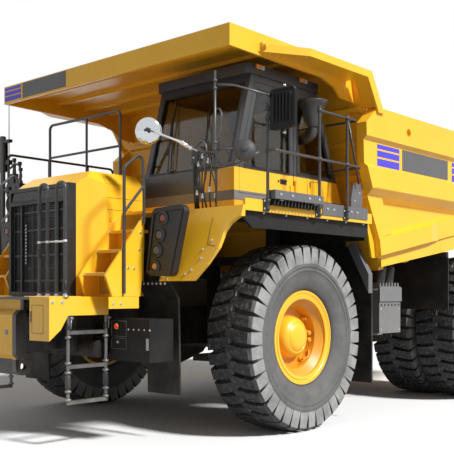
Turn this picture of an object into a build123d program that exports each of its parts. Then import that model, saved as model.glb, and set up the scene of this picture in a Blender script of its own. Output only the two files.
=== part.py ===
from build123d import *
import os
from math import hypot

# Rigid mining dump truck, 63 t payload class.
# X forward, Y to the driver's left, Z up, millimetres.  The origin is on the ground
# under the middle of the overall length and width.

# ---- overall sizes ----
wheelbase = 4300.0
front_overhang = 2720.0        # front axle to the face of the front step platform
rear_overhang = 2800.0         # rear axle to the tail of the body floor
body_half_width = 2300.0       # outside of the body's top rails
canopy_top_z = 4320.0
rail_top_z = canopy_top_z - 510  # top of the body's side rails

# ---- wheels ----
tyre_r = 1060.0                # under load
tyre_w = 640.0
tyre_bead_r = 508.0
tyre_wall = 60.0
front_track = 3515.0
rear_track = 3080.0            # between the middles of the twins
twin_pitch = tyre_w + 100
rim_flange_r = 533.0
rim_half_w = 235.0
rim_t = 16.0
kingpin_y = 1450.0

# ---- frame ----
rail_in_y = 380.0
rail_out_y = 560.0
frame_front_x = 2100.0         # from the front axle
frame_low_z = 950.0
frame_mid_z = 1400.0           # top of the rails under the hood
frame_top_z = 1780.0           # top of the rails under the body
pivot_back = 1050.0            # rear axle to the body hinge
pivot_z = 1720.0
pivot_r = 60.0

# ---- decks and cab ----
deck_z = 2450.0                # walking surface
deck_t = 30.0
deck_half_w = 2200.0
deck_split_y = 400.0           # between the right deck and the cab's deck
hood_half_w = 660.0
cab_in_y = 400.0
cab_out_y = 1800.0
cab_front_x = 980.0            # front face at the foot, from the front axle
cab_head_x = 700.0             # head of the leaning windscreen
cab_rear_x = -1130.0
cab_waist_x = -940.0           # rear edge at sill height
cab_tail_x = -515.0            # rear edge under the roof
cab_wall = 50.0
sill_z = 2900.0                # foot of the cab's windows
cab_top_z = canopy_top_z - 370
roof_t = 110.0
post_w = 80.0                  # width of the post ahead of the door
door_rear_x = -60.0
door_foot_z = 2640.0
door_head_z = cab_top_z - 70
gap = 5.0                      # running gap round doors and other moving leaves
fit = 0.3                      # running clearance of pins and faces that turn

# ---- body ----
body_front_x = -1450.0         # front foot of the floor, from the front axle
body_head_x = -950.0           # head of the front wall
floor_front_z = 2000.0
floor_kick_x = -wheelbase - 1300
floor_kick_z = 2740.0
floor_tail_z = 3060.0
floor_t = 30.0
wall_y = 2125.0                # outside of the lower side walls
wall_t = 25.0
side_h = rail_top_z - floor_front_z
shelf_z = floor_front_z + 0.442 * side_h
canopy_front_x = 1300.0
canopy_front_hw = 2020.0
wing_hw = 2330.0

# ---- hoist ----
hoist_y = rail_out_y + 145
hoist_foot = (-3200.0, 800.0)
hoist_head = (-3000.0, 2050.0)

front_axle_x = (rear_overhang + wheelbase - front_overhang) / 2
rear_axle_x = front_axle_x - wheelbase
pivot_x = rear_axle_x - pivot_back
floor_tail_x = -(wheelbase + rear_overhang)


def fx(x):
    """Distance ahead of the front axle to frame X."""
    return front_axle_x + x


def outline(points, plane):
    with BuildSketch(plane) as s:
        with BuildLine():
            Polyline(*points, close=True)
        make_face()
    return s.sketch


def slab_y(points, y0, y1, mode=Mode.ADD):
    """Side outline (x ahead of the front axle, z) carried from y0 to y1."""
    pts = [(fx(x), z) for x, z in points]
    extrude(outline(pts, Plane.XZ.offset(-y1)), amount=y1 - y0, mode=mode)


def slab_x(points, x0, x1, mode=Mode.ADD):
    """Front outline (y, z) carried from x0 to x1 (ahead of the front axle)."""
    extrude(outline(points, Plane.YZ.offset(fx(x0))), amount=x1 - x0, mode=mode)


def slab_z(points, z0, z1, mode=Mode.ADD):
    """Plan outline (x ahead of the front axle, y) carried from z0 to z1."""
    pts = [(fx(x), y) for x, y in points]
    extrude(outline(pts, Plane.XY.offset(z0)), amount=z1 - z0, mode=mode)


def block(x0, x1, y0, y1, z0, z1, mode=Mode.ADD):
    slab_z([(x0, y0), (x1, y0), (x1, y1), (x0, y1)], z0, z1, mode)


def rod(p, q, r, mode=Mode.ADD):
    """Round bar from p to q, both (x ahead of the front axle, y, z)."""
    a, b = Vector(fx(p[0]), p[1], p[2]), Vector(fx(q[0]), q[1], q[2])
    with BuildSketch(Plane(origin=a, z_dir=b - a)) as s:
        Circle(r)
    extrude(s.sketch, amount=(b - a).length, mode=mode)


def pipe(points, bend, r):
    """Tube of radius r along a bent line."""
    pts = [(fx(x), y, z) for x, y, z in points]
    with BuildLine() as path:
        if len(pts) > 2:
            FilletPolyline(*pts, radius=bend)
        else:
            Line(*pts)
    with BuildSketch(Plane(origin=path.line @ 0, z_dir=path.line % 0)) as s:
        RegularPolygon(r, 12)
    sweep(s.sketch, path=path.line)


def save(part, label):
    part.label = label
    export_step(part, "parts/" + label + ".step")


def floor_top(x):
    """Height of the body floor's upper face at x ahead of the front axle."""
    if x > floor_kick_x:
        t = (x - body_front_x) / (floor_kick_x - body_front_x)
        return floor_front_z + t * (floor_kick_z - floor_front_z)
    t = (x - floor_kick_x) / (floor_tail_x - floor_kick_x)
    return floor_kick_z + t * (floor_tail_z - floor_kick_z)


def wall_x(z):
    """Front wall's rear face at height z."""
    t = (z - floor_front_z) / (canopy_under_z - floor_front_z)
    return body_front_x + t * (body_head_x - body_front_x)


canopy_under_z = canopy_top_z - 60
pivot_f = pivot_x - front_axle_x
os.makedirs("parts", exist_ok=True)

# ======================= chassis =======================
with BuildPart() as main_frame:
    for side in (1, -1):
        y0, y1 = sorted((side * rail_in_y, side * rail_out_y))
        slab_y(
            [
                (frame_front_x, frame_low_z),
                (frame_front_x, frame_mid_z),
                (-1050, frame_mid_z),
                (-1300, frame_top_z),
                (pivot_f + 250, frame_top_z),
                (pivot_f + 60, pivot_z + 85),
                (pivot_f - 60, pivot_z + 70),
                (pivot_f - 120, pivot_z),
                (pivot_f - 120, 1560),
                (pivot_f + 300, 1420),
                (-3700, 1420),
                (-3300, 860),
                (-1200, 860),
                (-900, frame_low_z),
            ],
            y0,
            y1,
        )
    for x, z, r in ((1980, 1150, 100), (-900, 1010, 100), (-2700, 1560, 110)):
        rod((x, -rail_in_y, z), (x, rail_in_y, z), r)
    # round cross member under the front platform, out to both sides
    rod((2000, -820, 980), (2000, 820, 980), 90)
    rod((pivot_f, -rail_in_y, pivot_z), (pivot_f, rail_in_y, pivot_z), 95)
    rod((pivot_f, -rail_out_y - 120, pivot_z), (pivot_f, rail_out_y + 120, pivot_z), pivot_r)
    # hoist foot pins on plates outside the rails
    for side in (1, -1):
        y0 = side * rail_out_y
        rod((hoist_foot[0], y0, hoist_foot[1]), (hoist_foot[0], side * (hoist_y + 85), hoist_foot[1]), 50)
        slab_y(
            [(-3270, 720), (-3290, 1250), (-2950, 1250), (-3100, 720)],
            *sorted((y0, side * (rail_out_y + 30))),
        )
save(main_frame.part, "main_frame")

with BuildPart() as front_bumper:
    block(frame_front_x, frame_front_x + 40, -rail_out_y, rail_out_y, frame_low_z, 1330)
    slab_y([(2570, 900), (2650, 880), (2700, 930), (2700, 1340), (2650, 1390), (2570, 1390)], -330, 330)
    # horns from the frame's end plate, and the tread plate between the steps
    for side in (1, -1):
        block(frame_front_x + 40, 2570, *sorted((side * 190, side * 290)), 960, 1320)
    block(2240, 2600, -320, 320, 1390, 1500)
    for side in (1, -1):
        # towing eyes under the bumper
        with BuildSketch(Plane.XZ.offset(-(side * 230 + 30))) as eye:
            with Locations((fx(2560), 800)):
                Circle(95)
            with Locations((fx(2560), 870)):
                Rectangle(190, 140)
            with Locations((fx(2560), 800)):
                Circle(38, mode=Mode.SUBTRACT)
        extrude(eye.sketch, amount=60)
save(front_bumper.part, "front_bumper")

platform_z = 1530.0
platform_out_y = 900.0
with BuildPart() as front_platform:
    block(frame_front_x, front_overhang - 20, -platform_out_y, platform_out_y, 1500, platform_z)
    for side in (1, -1):
        y0, y1 = sorted((side * (rail_out_y + 10), side * platform_out_y))
        slab_y([(1950, 1340), (2470, 1340), (2560, 1200), (2700, 1090), (front_overhang - 20, 1500),
                (1950, 1500)], y0, y1)
        block(1950, frame_front_x, y0, y1, 1500, platform_z)
save(front_platform.part, "front_platform")

with BuildPart() as engine_block:
    block(500, 1860, -rail_in_y, rail_in_y, 1000, 2250)
    block(-700, 500, -rail_in_y + 60, rail_in_y - 60, 1240, 1750)
save(engine_block.part, "engine_block")

grille_front_x = 2200.0
grille_hw = 550.0
grille_top_z = 2735.0
with BuildPart() as radiator_grille:
    block(frame_front_x, grille_front_x, -grille_hw, grille_hw, platform_z, grille_top_z)
    block(frame_front_x + 30, grille_front_x, -grille_hw + 40, grille_hw - 40, platform_z + 50,
          grille_top_z - 190, Mode.SUBTRACT)
    block(frame_front_x + 60, grille_front_x, -grille_hw + 40, grille_hw - 40, grille_top_z - 150,
          grille_top_z - 40, Mode.SUBTRACT)
    # upright bars and the hinged middle screen
    for i in range(1, 8):
        y = -grille_hw + i * grille_hw / 4
        block(frame_front_x + 30, grille_front_x - 40, y - 6, y + 6, platform_z + 50, grille_top_z - 190)
    for z in (1840, 2120, 2400):
        block(frame_front_x + 30, grille_front_x - 50, -grille_hw + 40, grille_hw - 40, z - 7, z + 7)
    for y in (-330, 330):
        block(grille_front_x - 40, grille_front_x - 15, y - 16, y + 16, platform_z + 50, grille_top_z - 190)
save(radiator_grille.part, "radiator_grille")

hood_top_z = 2890.0
hood_rear_x = 1230.0
hood_side_z = 2740.0           # head of the upright sides
bevel_x = 1780.0               # where the front corners start to draw in


def hood_form(inset):
    """Hood outline with drawn-in front corners and a nose that slopes to the grille's head."""
    w = hood_half_w - inset
    rear, front = hood_rear_x + inset, frame_front_x - inset
    slab_x([(-w, platform_z - 2 * inset), (-w, hood_side_z), (-w + 140, hood_top_z - inset),
            (w - 140, hood_top_z - inset), (w, hood_side_z), (w, platform_z - 2 * inset)], rear, front)
    for side in (1, -1):
        slab_z([(bevel_x, side * w), (bevel_x, side * (w + 60)), (front + 10, side * (w + 60)),
                (front + 10, side * (grille_hw - inset)), (front, side * (grille_hw - inset))],
               platform_z - 60, hood_top_z + 20, Mode.SUBTRACT)
    slab_y([(1880, hood_top_z - inset), (1880, hood_top_z + 20), (front + 10, hood_top_z + 20),
            (front + 10, grille_top_z - inset), (front, grille_top_z - inset)], -800, 800, Mode.SUBTRACT)


with BuildPart() as hood_void:
    hood_form(20)
with BuildPart() as engine_hood:
    hood_form(0)
    add(hood_void.part, mode=Mode.SUBTRACT)
    block(hood_rear_x - 5, hood_rear_x + 25, -hood_half_w + 20, hood_half_w - 20, platform_z - 10,
          deck_z - deck_t, Mode.SUBTRACT)
save(engine_hood.part, "engine_hood")

with BuildPart() as deck_supports:
    for side in (1, -1):
        for x0, x1 in ((1050, 1220), (-1180, -1080)):
            y0, y1 = sorted((side * rail_out_y, side * 720))
            block(x0, x1, y0, y1, 1000, deck_z - deck_t)
save(deck_supports.part, "deck_supports")

deck_rear_x = wall_x(deck_z) + 60
deck_tail_x = -1060.0           # rear end of the walkway beside the body
skirt_y = 2150.0
for name, y0, y1 in (("deck_left", deck_split_y, deck_half_w), ("deck_right", -deck_half_w, deck_split_y)):
    out = deck_half_w if name == "deck_left" else -deck_half_w
    side = 1 if name == "deck_left" else -1
    with BuildPart() as deck:
        block(deck_tail_x, hood_rear_x, y0, y1, deck_z - deck_t, deck_z)
        block(deck_rear_x, deck_tail_x, *sorted((out - side * 500, y0 + y1 - out)), deck_z - deck_t, deck_z)
        block(hood_rear_x, 1560, *sorted((side * hood_half_w, side * 1250)), deck_z - deck_t, deck_z)
        block(hood_rear_x, 1300, *sorted((side * 1250, out)), deck_z - deck_t, deck_z)
        block(deck_tail_x, 1300, *sorted((out, out + side * 30)), deck_z - 50, deck_z + 70)
    save(deck.part, name)

arch_outline = [  # y, z of the front panel's outer edge, from its foot round the arch to the deck
    (1770, 1690),
    (1905, 1850),
    (2010, 2020),
    (2040, 2180),
    (2090, 2265),
    (2190, 2330),
]
with BuildPart() as front_fenders:
    for side in (1, -1):
        # leaning front panel, cut round the tyre
        slab_y([(1300, deck_z), (1330, deck_z), (1560, 1690), (1530, 1690), (1300, deck_z - 100)],
               *sorted((side * 1260, side * (deck_half_w + 30))))
        slab_x([(side * y, z) for y, z in [*arch_outline, (2400, 2360), (2400, 1600), (1770, 1600)]],
               1200, 1600, Mode.SUBTRACT)
        # gusset between the panel and the landing
        slab_y([(1300, deck_z - 80), (1300, deck_z - deck_t), (1560, deck_z - deck_t), (1560, 1900), (1480, 1900)],
               *sorted((side * 1230, side * 1260)))
save(front_fenders.part, "front_fenders")

with BuildPart() as wheel_guards:
    for side in (1, -1):
        pts = [(rail_out_y, 1000), (800, 700), (1400, 450), (2100, 450), (2100, 1570), (1800, 2150),
               (1700, 2150), (1700, deck_z - deck_t), (rail_out_y, deck_z - deck_t)]
        slab_x([(side * y, z) for y, z in pts], deck_rear_x, deck_rear_x + 30)
        # flap ahead of the wheel, hung from the front panel's foot
        slab_y([(1530, 1690), (1560, 1690), (1420, 1500), (1390, 480), (1370, 480), (1395, 1520)],
               *sorted((side * 900, side * 1400)))
        # liner under the deck with its outer skirt
        slab_y([(1270, deck_z - deck_t), (1270, 2330), (1130, 2235), (-980, 2235), (deck_tail_x + 10, 2300),
                (deck_tail_x + 10, deck_z - deck_t)], *sorted((side * skirt_y, side * (skirt_y + 30))))
        block(deck_tail_x + 10, 1270, *sorted((side * 1300, side * skirt_y)), deck_z - 60, deck_z - deck_t)
        block(deck_tail_x + 10, deck_tail_x + 40, *sorted((side * 1700, side * skirt_y)), 2200, deck_z - 60)
save(wheel_guards.part, "wheel_guards")

with BuildPart() as headlight_clusters:
    for side in (1, -1):
        pts = [(1240, 2450), (1730, 2472), (1530, 1735), (1140, 1750)]
        with BuildSketch(Plane.YZ.offset(fx(1560))) as face:
            with BuildLine():
                Polyline(*[(side * y, z) for y, z in pts], close=True)
            make_face()
            fillet(face.vertices(), 70)
        extrude(face.sketch, amount=80)
save(headlight_clusters.part, "headlight_clusters")

step_rows = [  # front edge x, height
    (2110, 1775),
    (1930, 2020),
    (1760, 2235),
]
with BuildPart() as stairs:
    for side in (1, -1):
        for x, z in step_rows:
            block(x - 200, x, *sorted((side * 680, side * 1090)), z - 30, z)
        for y in (665, 1090):
            slab_y([(1700, platform_z), (2080, platform_z), (2170, 1740), (2130, 1800), (1645, 2380),
                    (1645, 2030)], *sorted((side * y, side * (y + 30))))
save(stairs.part, "stairs")

with BuildPart() as access_ladders:
    for side in (1, -1):
        for x in (1960, 2450):
            rod((x, side * 870, 440), (x, side * 870, 1340), 18)
        for z in (460, 820, 1165):
            block(1960, 2450, *sorted((side * 850, side * 890)), z - 18, z + 18)
save(access_ladders.part, "access_ladders")

# ---- cab ----
front_slope = (cab_front_x - cab_head_x) / (cab_top_z - sill_z)
rear_slope = (cab_tail_x - cab_waist_x) / (cab_top_z - sill_z)
hinge_x = door_rear_x - 20
hinge_y = cab_out_y + 24
hinge_zs = (door_foot_z + 80, door_head_z - 180)


def cab_x(z, back):
    """Windscreen plane at height z, set back by a distance."""
    return cab_front_x - front_slope * max(z - sill_z, 0) - back


def tail_x(z, ahead):
    return cab_waist_x + rear_slope * max(z - sill_z, 0) + ahead


def side_outline(z0, z1, front, rear):
    """Side outline between two heights, inset from the front and rear edges."""
    return [(cab_x(z0, front), z0), (cab_x(z1, front), z1), (tail_x(z1, rear), z1), (tail_x(z0, rear), z0)]


def door_outline(inset):
    z0, z1 = door_foot_z + inset, door_head_z - inset
    return [(cab_x(z0, post_w + inset), z0), (cab_x(sill_z, post_w + inset), sill_z),
            (cab_x(z1, post_w + inset), z1), (door_rear_x + inset, z1), (door_rear_x + inset, z0)]


def door_light(inset):
    z0, z1 = sill_z + 15 + inset, door_head_z - 75 - inset
    return [(cab_x(z0, post_w + 70 + inset), z0), (cab_x(z1, post_w + 70 + inset), z1),
            (door_rear_x + 75 + inset, z1), (door_rear_x + 75 + inset, z0)]


quarter_light = [(door_rear_x - 60, sill_z + 40), (door_rear_x - 60, cab_top_z - 100),
                 (tail_x(cab_top_z - 100, 70), cab_top_z - 100), (tail_x(sill_z + 40, 70), sill_z + 40)]
side_light = side_outline(sill_z + 40, cab_top_z - 100, 110, 70)
end_light = [(cab_in_y + 80, sill_z + 40), (cab_out_y - 80, sill_z + 40), (cab_out_y - 80, cab_top_z - 90),
             (cab_in_y + 80, cab_top_z - 90)]


def hinge_leaf(z):
    """Fixed leaf above the door's own knuckle."""
    rod((hinge_x, hinge_y, z + 80 + fit), (hinge_x, hinge_y, z + 140), 20)
    block(hinge_x - 60, hinge_x, cab_out_y, cab_out_y + 14, z + 80 + fit, z + 140)


with BuildPart() as cab_base:
    slab_y([(cab_front_x, deck_z), (cab_front_x, sill_z), (cab_waist_x, sill_z), (cab_rear_x, deck_z)],
           cab_in_y, cab_out_y)
    slab_y([(cab_front_x - cab_wall, deck_z + 50), (cab_front_x - cab_wall, sill_z),
            (cab_waist_x + cab_wall, sill_z), (cab_rear_x + 90, deck_z + 50)],
           cab_in_y + cab_wall, cab_out_y - cab_wall, Mode.SUBTRACT)
    slab_y(door_outline(0), cab_out_y - cab_wall, cab_out_y, Mode.SUBTRACT)
    hinge_leaf(hinge_zs[0])
save(cab_base.part, "cab_base")

with BuildPart() as cab_shell:
    slab_y(side_outline(sill_z, cab_top_z, 0, 0), cab_in_y, cab_out_y)
    slab_y(side_outline(sill_z, cab_top_z - 40, cab_wall, cab_wall), cab_in_y + cab_wall,
           cab_out_y - cab_wall, Mode.SUBTRACT)
    # windscreen, rear light, side lights and the doorway
    slab_x(end_light, 500, cab_front_x + 50, Mode.SUBTRACT)
    slab_x(end_light, cab_rear_x, cab_tail_x + 100, Mode.SUBTRACT)
    slab_y(quarter_light, cab_out_y - cab_wall, cab_out_y, Mode.SUBTRACT)
    slab_y(side_light, cab_in_y, cab_in_y + cab_wall, Mode.SUBTRACT)
    slab_y(door_outline(0), cab_out_y - cab_wall, cab_out_y, Mode.SUBTRACT)
    hinge_leaf(hinge_zs[1])
save(cab_shell.part, "cab_shell")

with BuildPart() as cab_roof:
    slab_z([(cab_head_x + 80, cab_in_y - 20), (cab_head_x + 80, cab_out_y + 30),
            (cab_tail_x - 40, cab_out_y + 30), (cab_tail_x - 40, cab_in_y - 20)], cab_top_z, cab_top_z + roof_t)
    chamfer(cab_roof.edges().filter_by(Axis.Z), 50)
save(cab_roof.part, "cab_roof")


def leaning_pane(place, z0, z1, back):
    """Side outline of a pane 12 mm thick, set back in a leaning face."""
    return [(place(z0, back), z0), (place(z1, back), z1), (place(z1, back) - 12, z1), (place(z0, back) - 12, z0)]


with BuildPart() as cab_glass:
    slab_y(leaning_pane(cab_x, sill_z + 40, cab_top_z - 90, 20), cab_in_y + 80, cab_out_y - 80)
    slab_y(leaning_pane(tail_x, sill_z + 40, cab_top_z - 90, 32), cab_in_y + 80, cab_out_y - 80)
    slab_y(quarter_light, cab_out_y - 32, cab_out_y - 20)
    slab_y(side_light, cab_in_y + 20, cab_in_y + 32)
save(cab_glass.part, "cab_glass")

floor_z = deck_z + 50
column_lean = (0.69, 0.72)
column_foot = (700.0, cab_out_y - 470, floor_z + 330)
column_head = (column_foot[0] - 325 * column_lean[0], column_foot[1], column_foot[2] + 325 * column_lean[1])
with BuildPart() as cab_interior:
    # driver's seat on its pedestal, second seat, dash with steering column and wheel
    seat_y = cab_out_y - 470
    block(-300, 100, seat_y - 200, seat_y + 200, floor_z, floor_z + 250)
    block(-330, 230, seat_y - 240, seat_y + 240, floor_z + 250, floor_z + 400)
    slab_y([(-330, floor_z + 400), (-210, floor_z + 400), (-330, cab_top_z - 300), (-420, cab_top_z - 300)],
           seat_y - 220, seat_y + 220)
    block(-500, -50, 520, 900, floor_z, floor_z + 350)
    block(620, cab_front_x - cab_wall - 5, cab_in_y + cab_wall + 5, cab_out_y - cab_wall - 60, floor_z,
          floor_z + 330)
    rod(column_foot, column_head, 35)
with BuildPart() as steering_wheel:
    with Locations(Plane(origin=(fx(column_head[0]), column_head[1], column_head[2]),
                         z_dir=(-column_lean[0], 0, column_lean[1])).offset(15)):
        Cylinder(216, 24)
        Cylinder(188, 24, mode=Mode.SUBTRACT)
        Cylinder(60, 30)
        for a in (0, 120, 240):
            with Locations(Location((0, 0, 0), (0, 0, a)) * Location((100, 0, 0))):
                Box(196, 24, 12)
save(Compound(children=[*cab_interior.part.solids(), *steering_wheel.part.solids()]), "cab_interior")

# ---- door ----
with BuildPart() as cab_door:
    slab_y(door_outline(gap), cab_out_y - 45, cab_out_y)
    slab_y(door_light(0), cab_out_y - 45, cab_out_y, Mode.SUBTRACT)
    for z in hinge_zs:
        block(hinge_x, door_rear_x + 70, cab_out_y + 2, cab_out_y + 14, z, z + 80)
        block(door_rear_x + 20, door_rear_x + 70, cab_out_y, cab_out_y + 2, z, z + 80)
        rod((hinge_x, hinge_y, z), (hinge_x, hinge_y, z + 80), 20)
save(cab_door.part, "cab_door")

with BuildPart() as cab_door_glass:
    slab_y(door_light(0), cab_out_y - 30, cab_out_y - 18)
save(cab_door_glass.part, "cab_door_glass")

# ---- handrails: each row is one bent tube ----
rail_y = 2260.0
tube_r = 17.0
walk_z = canopy_top_z - 730     # top rail of the walkway beside the cab
walk_mid_z = deck_z + 0.526 * (walk_z - deck_z)
left_rails = [
    [(980, rail_y, deck_z - 20), (980, rail_y, walk_z - 90)],
    [(980, rail_y, walk_mid_z - 20), (940, rail_y + 80, walk_mid_z - 20), (130, rail_y + 80, walk_mid_z - 20),
     (70, rail_y, walk_mid_z - 20)],
    [(70, rail_y, deck_z - 20), (70, rail_y, walk_z + 50)],
    [(-480, rail_y, deck_z - 20), (-480, rail_y, walk_z - 30)],
    [(70, rail_y, walk_z), (-690, rail_y, walk_z), (-690, cab_out_y + 20, walk_z)],
    [(70, rail_y, walk_mid_z), (-780, rail_y, walk_mid_z), (-780, cab_out_y + 20, walk_mid_z)],
]
with BuildPart() as handrails_left:
    for row in left_rails:
        pipe(row, 50, tube_r if len(row) == 2 else tube_r - 2)
    for x in (980, 70, -480):
        block(x - 30, x + 30, deck_half_w + 30, rail_y, deck_z - 40, deck_z + 60)
save(handrails_left.part, "handrails_left")

hood_rail_z = canopy_top_z - 620  # rail across the deck behind the hood
deck_rail_z = deck_z + 0.8 * (hood_rail_z - deck_z)


def share(z, part):
    return deck_z + part * (z - deck_z)


right_rails = [
    [(1200, -1140, deck_z), (1200, -1140, hood_rail_z), (1200, 220, hood_rail_z), (1200, 220, deck_z)],
    [(1200, -1140, share(hood_rail_z, 0.67)), (1200, 220, share(hood_rail_z, 0.67))],
    [(1200, -400, deck_z), (1200, -400, hood_rail_z - 10)],
    [(1150, -2150, deck_z), (1150, -2150, deck_rail_z), (-700, -2150, deck_rail_z), (-700, -2150, deck_z)],
    [(1150, -2150, share(deck_rail_z, 0.51)), (-700, -2150, share(deck_rail_z, 0.51))],
    [(480, -2150, deck_z), (480, -2150, deck_rail_z - 10)],
    [(-220, -2150, deck_z), (-220, -2150, deck_rail_z - 10)],
]
with BuildPart() as handrails_right:
    for row in right_rails:
        pipe(row, 60, tube_r if len(row) > 2 else tube_r - 2)
save(handrails_right.part, "handrails_right")

with BuildPart() as stair_rails:
    for side in (1, -1):
        y = side * (1120 + tube_r + 0.2)
        pipe([(1940, y, platform_z + 30), (1940, y, 2860), (1690, y, 3060), (1665, y, 2640), (1665, y, 2300)],
             60, tube_r)
        pipe([(1940, y, 2400), (1665, y, 2700)], 60, tube_r - 2)
        for yy in (460, 750):
            pipe([(2500, side * yy, platform_z), (2500, side * yy, 2680),
                  (2500, side * (yy + 140), 2680), (2500, side * (yy + 140), platform_z)], 60, tube_r)
save(stair_rails.part, "stair_rails")

with BuildPart() as mirrors:
    # flat mirrors out on the walkway posts, each on its own arm
    for x, y, side in ((980, rail_y, 1), (1150, -2150, -1)):
        pipe([(x, y + side * (tube_r + 0.2), walk_z - 230), (x, y + side * 60, walk_z - 230)], 30, 14)
        with BuildSketch(Plane.YZ.offset(fx(x - 20))) as plate:
            with Locations((y + side * 200, walk_z - 160)):
                RectangleRounded(320, 420, 50)
        extrude(plate.sketch, amount=40)
save(mirrors.part, "mirrors")

with BuildPart() as door_step:
    # step that widens the walkway in front of the cab door, and the guard plate behind it
    block(110, 955, deck_half_w + 30, 2340, deck_z + 85, deck_z + 175)
    for x in (200, 800):
        block(x, x + 60, deck_half_w, 2330, deck_z + 70, deck_z + 85)
    slab_y([(-940, deck_z), (-940, deck_z + 380), (-900, deck_z + 430), (-750, deck_z + 415), (-700, deck_z + 220),
            (-700, deck_z)], deck_half_w - 60, deck_half_w - 30)
    # kick plates outside the deck's edge, either side of the middle post
    for x0, x1 in ((-950, -515), (-445, -20)):
        block(x0, x1, deck_half_w + 30, deck_half_w + 42, deck_z - 10, deck_z + 125)
save(door_step.part, "door_step")

with BuildPart() as tanks:
    # fuel tank on the right rail, hydraulic tank on the left with air bottles on top
    for side, top in ((1, 1480), (-1, 1640)):
        slab_y([(-2500, 980), (-1650, 980), (-1560, 1070), (-1560, top - 90), (-1650, top), (-2500, top),
                (-2590, top - 90), (-2590, 1070)], *sorted((side * rail_out_y, side * 1500)))
    for y in (1000, 1280):
        rod((-2550, y, 1605), (-1600, y, 1605), 105)
        for x in (-2400, -1800):
            block(x, x + 60, y - 60, y + 60, 1480, 1600)
    # filter and battery box bolted outside the left tank
    slab_y([(-2380, 1030), (-1840, 1030), (-1840, 1600), (-1880, 1640), (-2340, 1640), (-2380, 1600)], 1500, 1860)
save(tanks.part, "tanks")

with BuildPart() as side_box:
    # isolator box on the left behind the front step
    block(1570, 1900, 860, 1480, 860, 1300)
    block(1580, 1880, rail_out_y, 860, 1000, 1100)
save(side_box.part, "side_box")

# ======================= front suspension =======================
with BuildPart() as front_suspension:
    for side in (1, -1):
        # lower arm from the rail to the fork that holds the kingpin
        slab_z([(-330, side * rail_out_y), (330, side * rail_out_y), (120, side * (kingpin_y + 60)),
                (-120, side * (kingpin_y + 60))], 740, 820)
        rod((0, side * kingpin_y, 700), (0, side * kingpin_y, 820), 95)
        rod((0, side * kingpin_y, 1300), (0, side * kingpin_y, 1380), 95)
        block(-80, 80, *sorted((side * 1240, side * kingpin_y)), 1300, 1380)
        rod((0, side * 1140, 820), (0, side * 1140, 2000), 110)
        block(-80, 80, *sorted((side * rail_out_y, side * 1250)), 1900, 2000)
        block(-80, 80, *sorted((side * rail_out_y, side * (rail_out_y + 80))), 1000, 1900)
        rod((0, side * kingpin_y, 1250 + 0), (0, side * kingpin_y, 1300), 60)
    for side in (1, -1):
        rod((0, side * kingpin_y, 820), (0, side * kingpin_y, 870), 60)
save(front_suspension.part, "front_suspension")

arm_back = 380.0
arm_y = kingpin_y
for name, side in (("knuckle_left", 1), ("knuckle_right", -1)):
    with BuildPart() as knuckle:
        rod((0, side * kingpin_y, 870 + fit), (0, side * kingpin_y, 1250 - fit), 95)
        rod((0, side * kingpin_y, tyre_r), (0, side * 1600, tyre_r), 130)
        rod((0, side * 1575, tyre_r), (0, side * 1600, tyre_r), 200)
        # steering arm to the track rod
        slab_z([(60, side * (kingpin_y - 60)), (60, side * kingpin_y), (-arm_back, side * (arm_y + 45)),
                (-arm_back, side * (arm_y - 45))], 925, 965)
        rod((-arm_back, side * arm_y, 915), (-arm_back, side * arm_y, 965), 45)
        rod((-arm_back, side * arm_y, 845), (-arm_back, side * arm_y, 915), 24)
    save(knuckle.part, name)

with BuildPart() as track_rod:
    rod((-arm_back, -arm_y, 881), (-arm_back, arm_y, 881), 30)
    for side in (1, -1):
        rod((-arm_back, side * arm_y, 850), (-arm_back, side * arm_y, 912), 48)
        rod((-arm_back, side * arm_y, 840), (-arm_back, side * arm_y, 920), 24 + fit, Mode.SUBTRACT)
save(track_rod.part, "track_rod")


# ======================= wheels =======================
def revolve_y(points, x, y, z, side):
    """Section (radius, y from the tyre's middle, + outward) turned about the axle line."""
    pts = [(fx(x) + r, y + side * v) for r, v in points]
    with BuildSketch(Plane.XY.offset(z)) as s:
        with BuildLine():
            Polyline(*pts, close=True)
        make_face()
    revolve(s.sketch, axis=Axis((fx(x), 0, z), (0, 1, 0)))


h = tyre_w / 2
tyre_section = [
    (tyre_bead_r, rim_half_w - rim_t), (tyre_bead_r, rim_half_w - rim_t - 50), (800, h - 60),
    (tyre_r - tyre_wall, h - 120), (tyre_r - tyre_wall, -h + 120), (800, -h + 60),
    (tyre_bead_r, -rim_half_w + rim_t + 50), (tyre_bead_r, -rim_half_w + rim_t),
    (560, -rim_half_w + rim_t), (630, -h + 20), (820, -h), (985, -h + 30), (tyre_r, -h + 95),
    (tyre_r, h - 95), (985, h - 30), (820, h), (630, h - 20), (560, rim_half_w - rim_t),
]


def rim_section(disc, hub_r, hub_out, hub_in):
    """Rim with stepped flange rings, a cone down to the dished disc at v=disc, and the domed hub."""
    w, b, t = rim_half_w, tyre_bead_r, rim_t
    return [
        (rim_flange_r, w), (rim_flange_r, w - t), (b, w - t), (b, -w + t), (rim_flange_r, -w + t),
        (rim_flange_r, -w), (b - t, -w), (b - t, w - 80), (455, w - 80), (380, w - 130), (365, disc - 20),
        (hub_r + 30, disc - 20), (hub_r + 30, hub_in), (0, hub_in), (0, hub_out), (hub_r * 0.3, hub_out),
        (hub_r * 0.6, hub_out - 8), (hub_r * 0.85, hub_out - 30), (hub_r, hub_out - 75), (hub_r, disc), (345, disc), (360, w - 110),
        (437, w - 38), (437, w - 12), (478, w - 5), (478, w - 12), (490, w - 12), (500, w - 4), (512, w - 4),
        (512, w),
    ]


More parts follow.
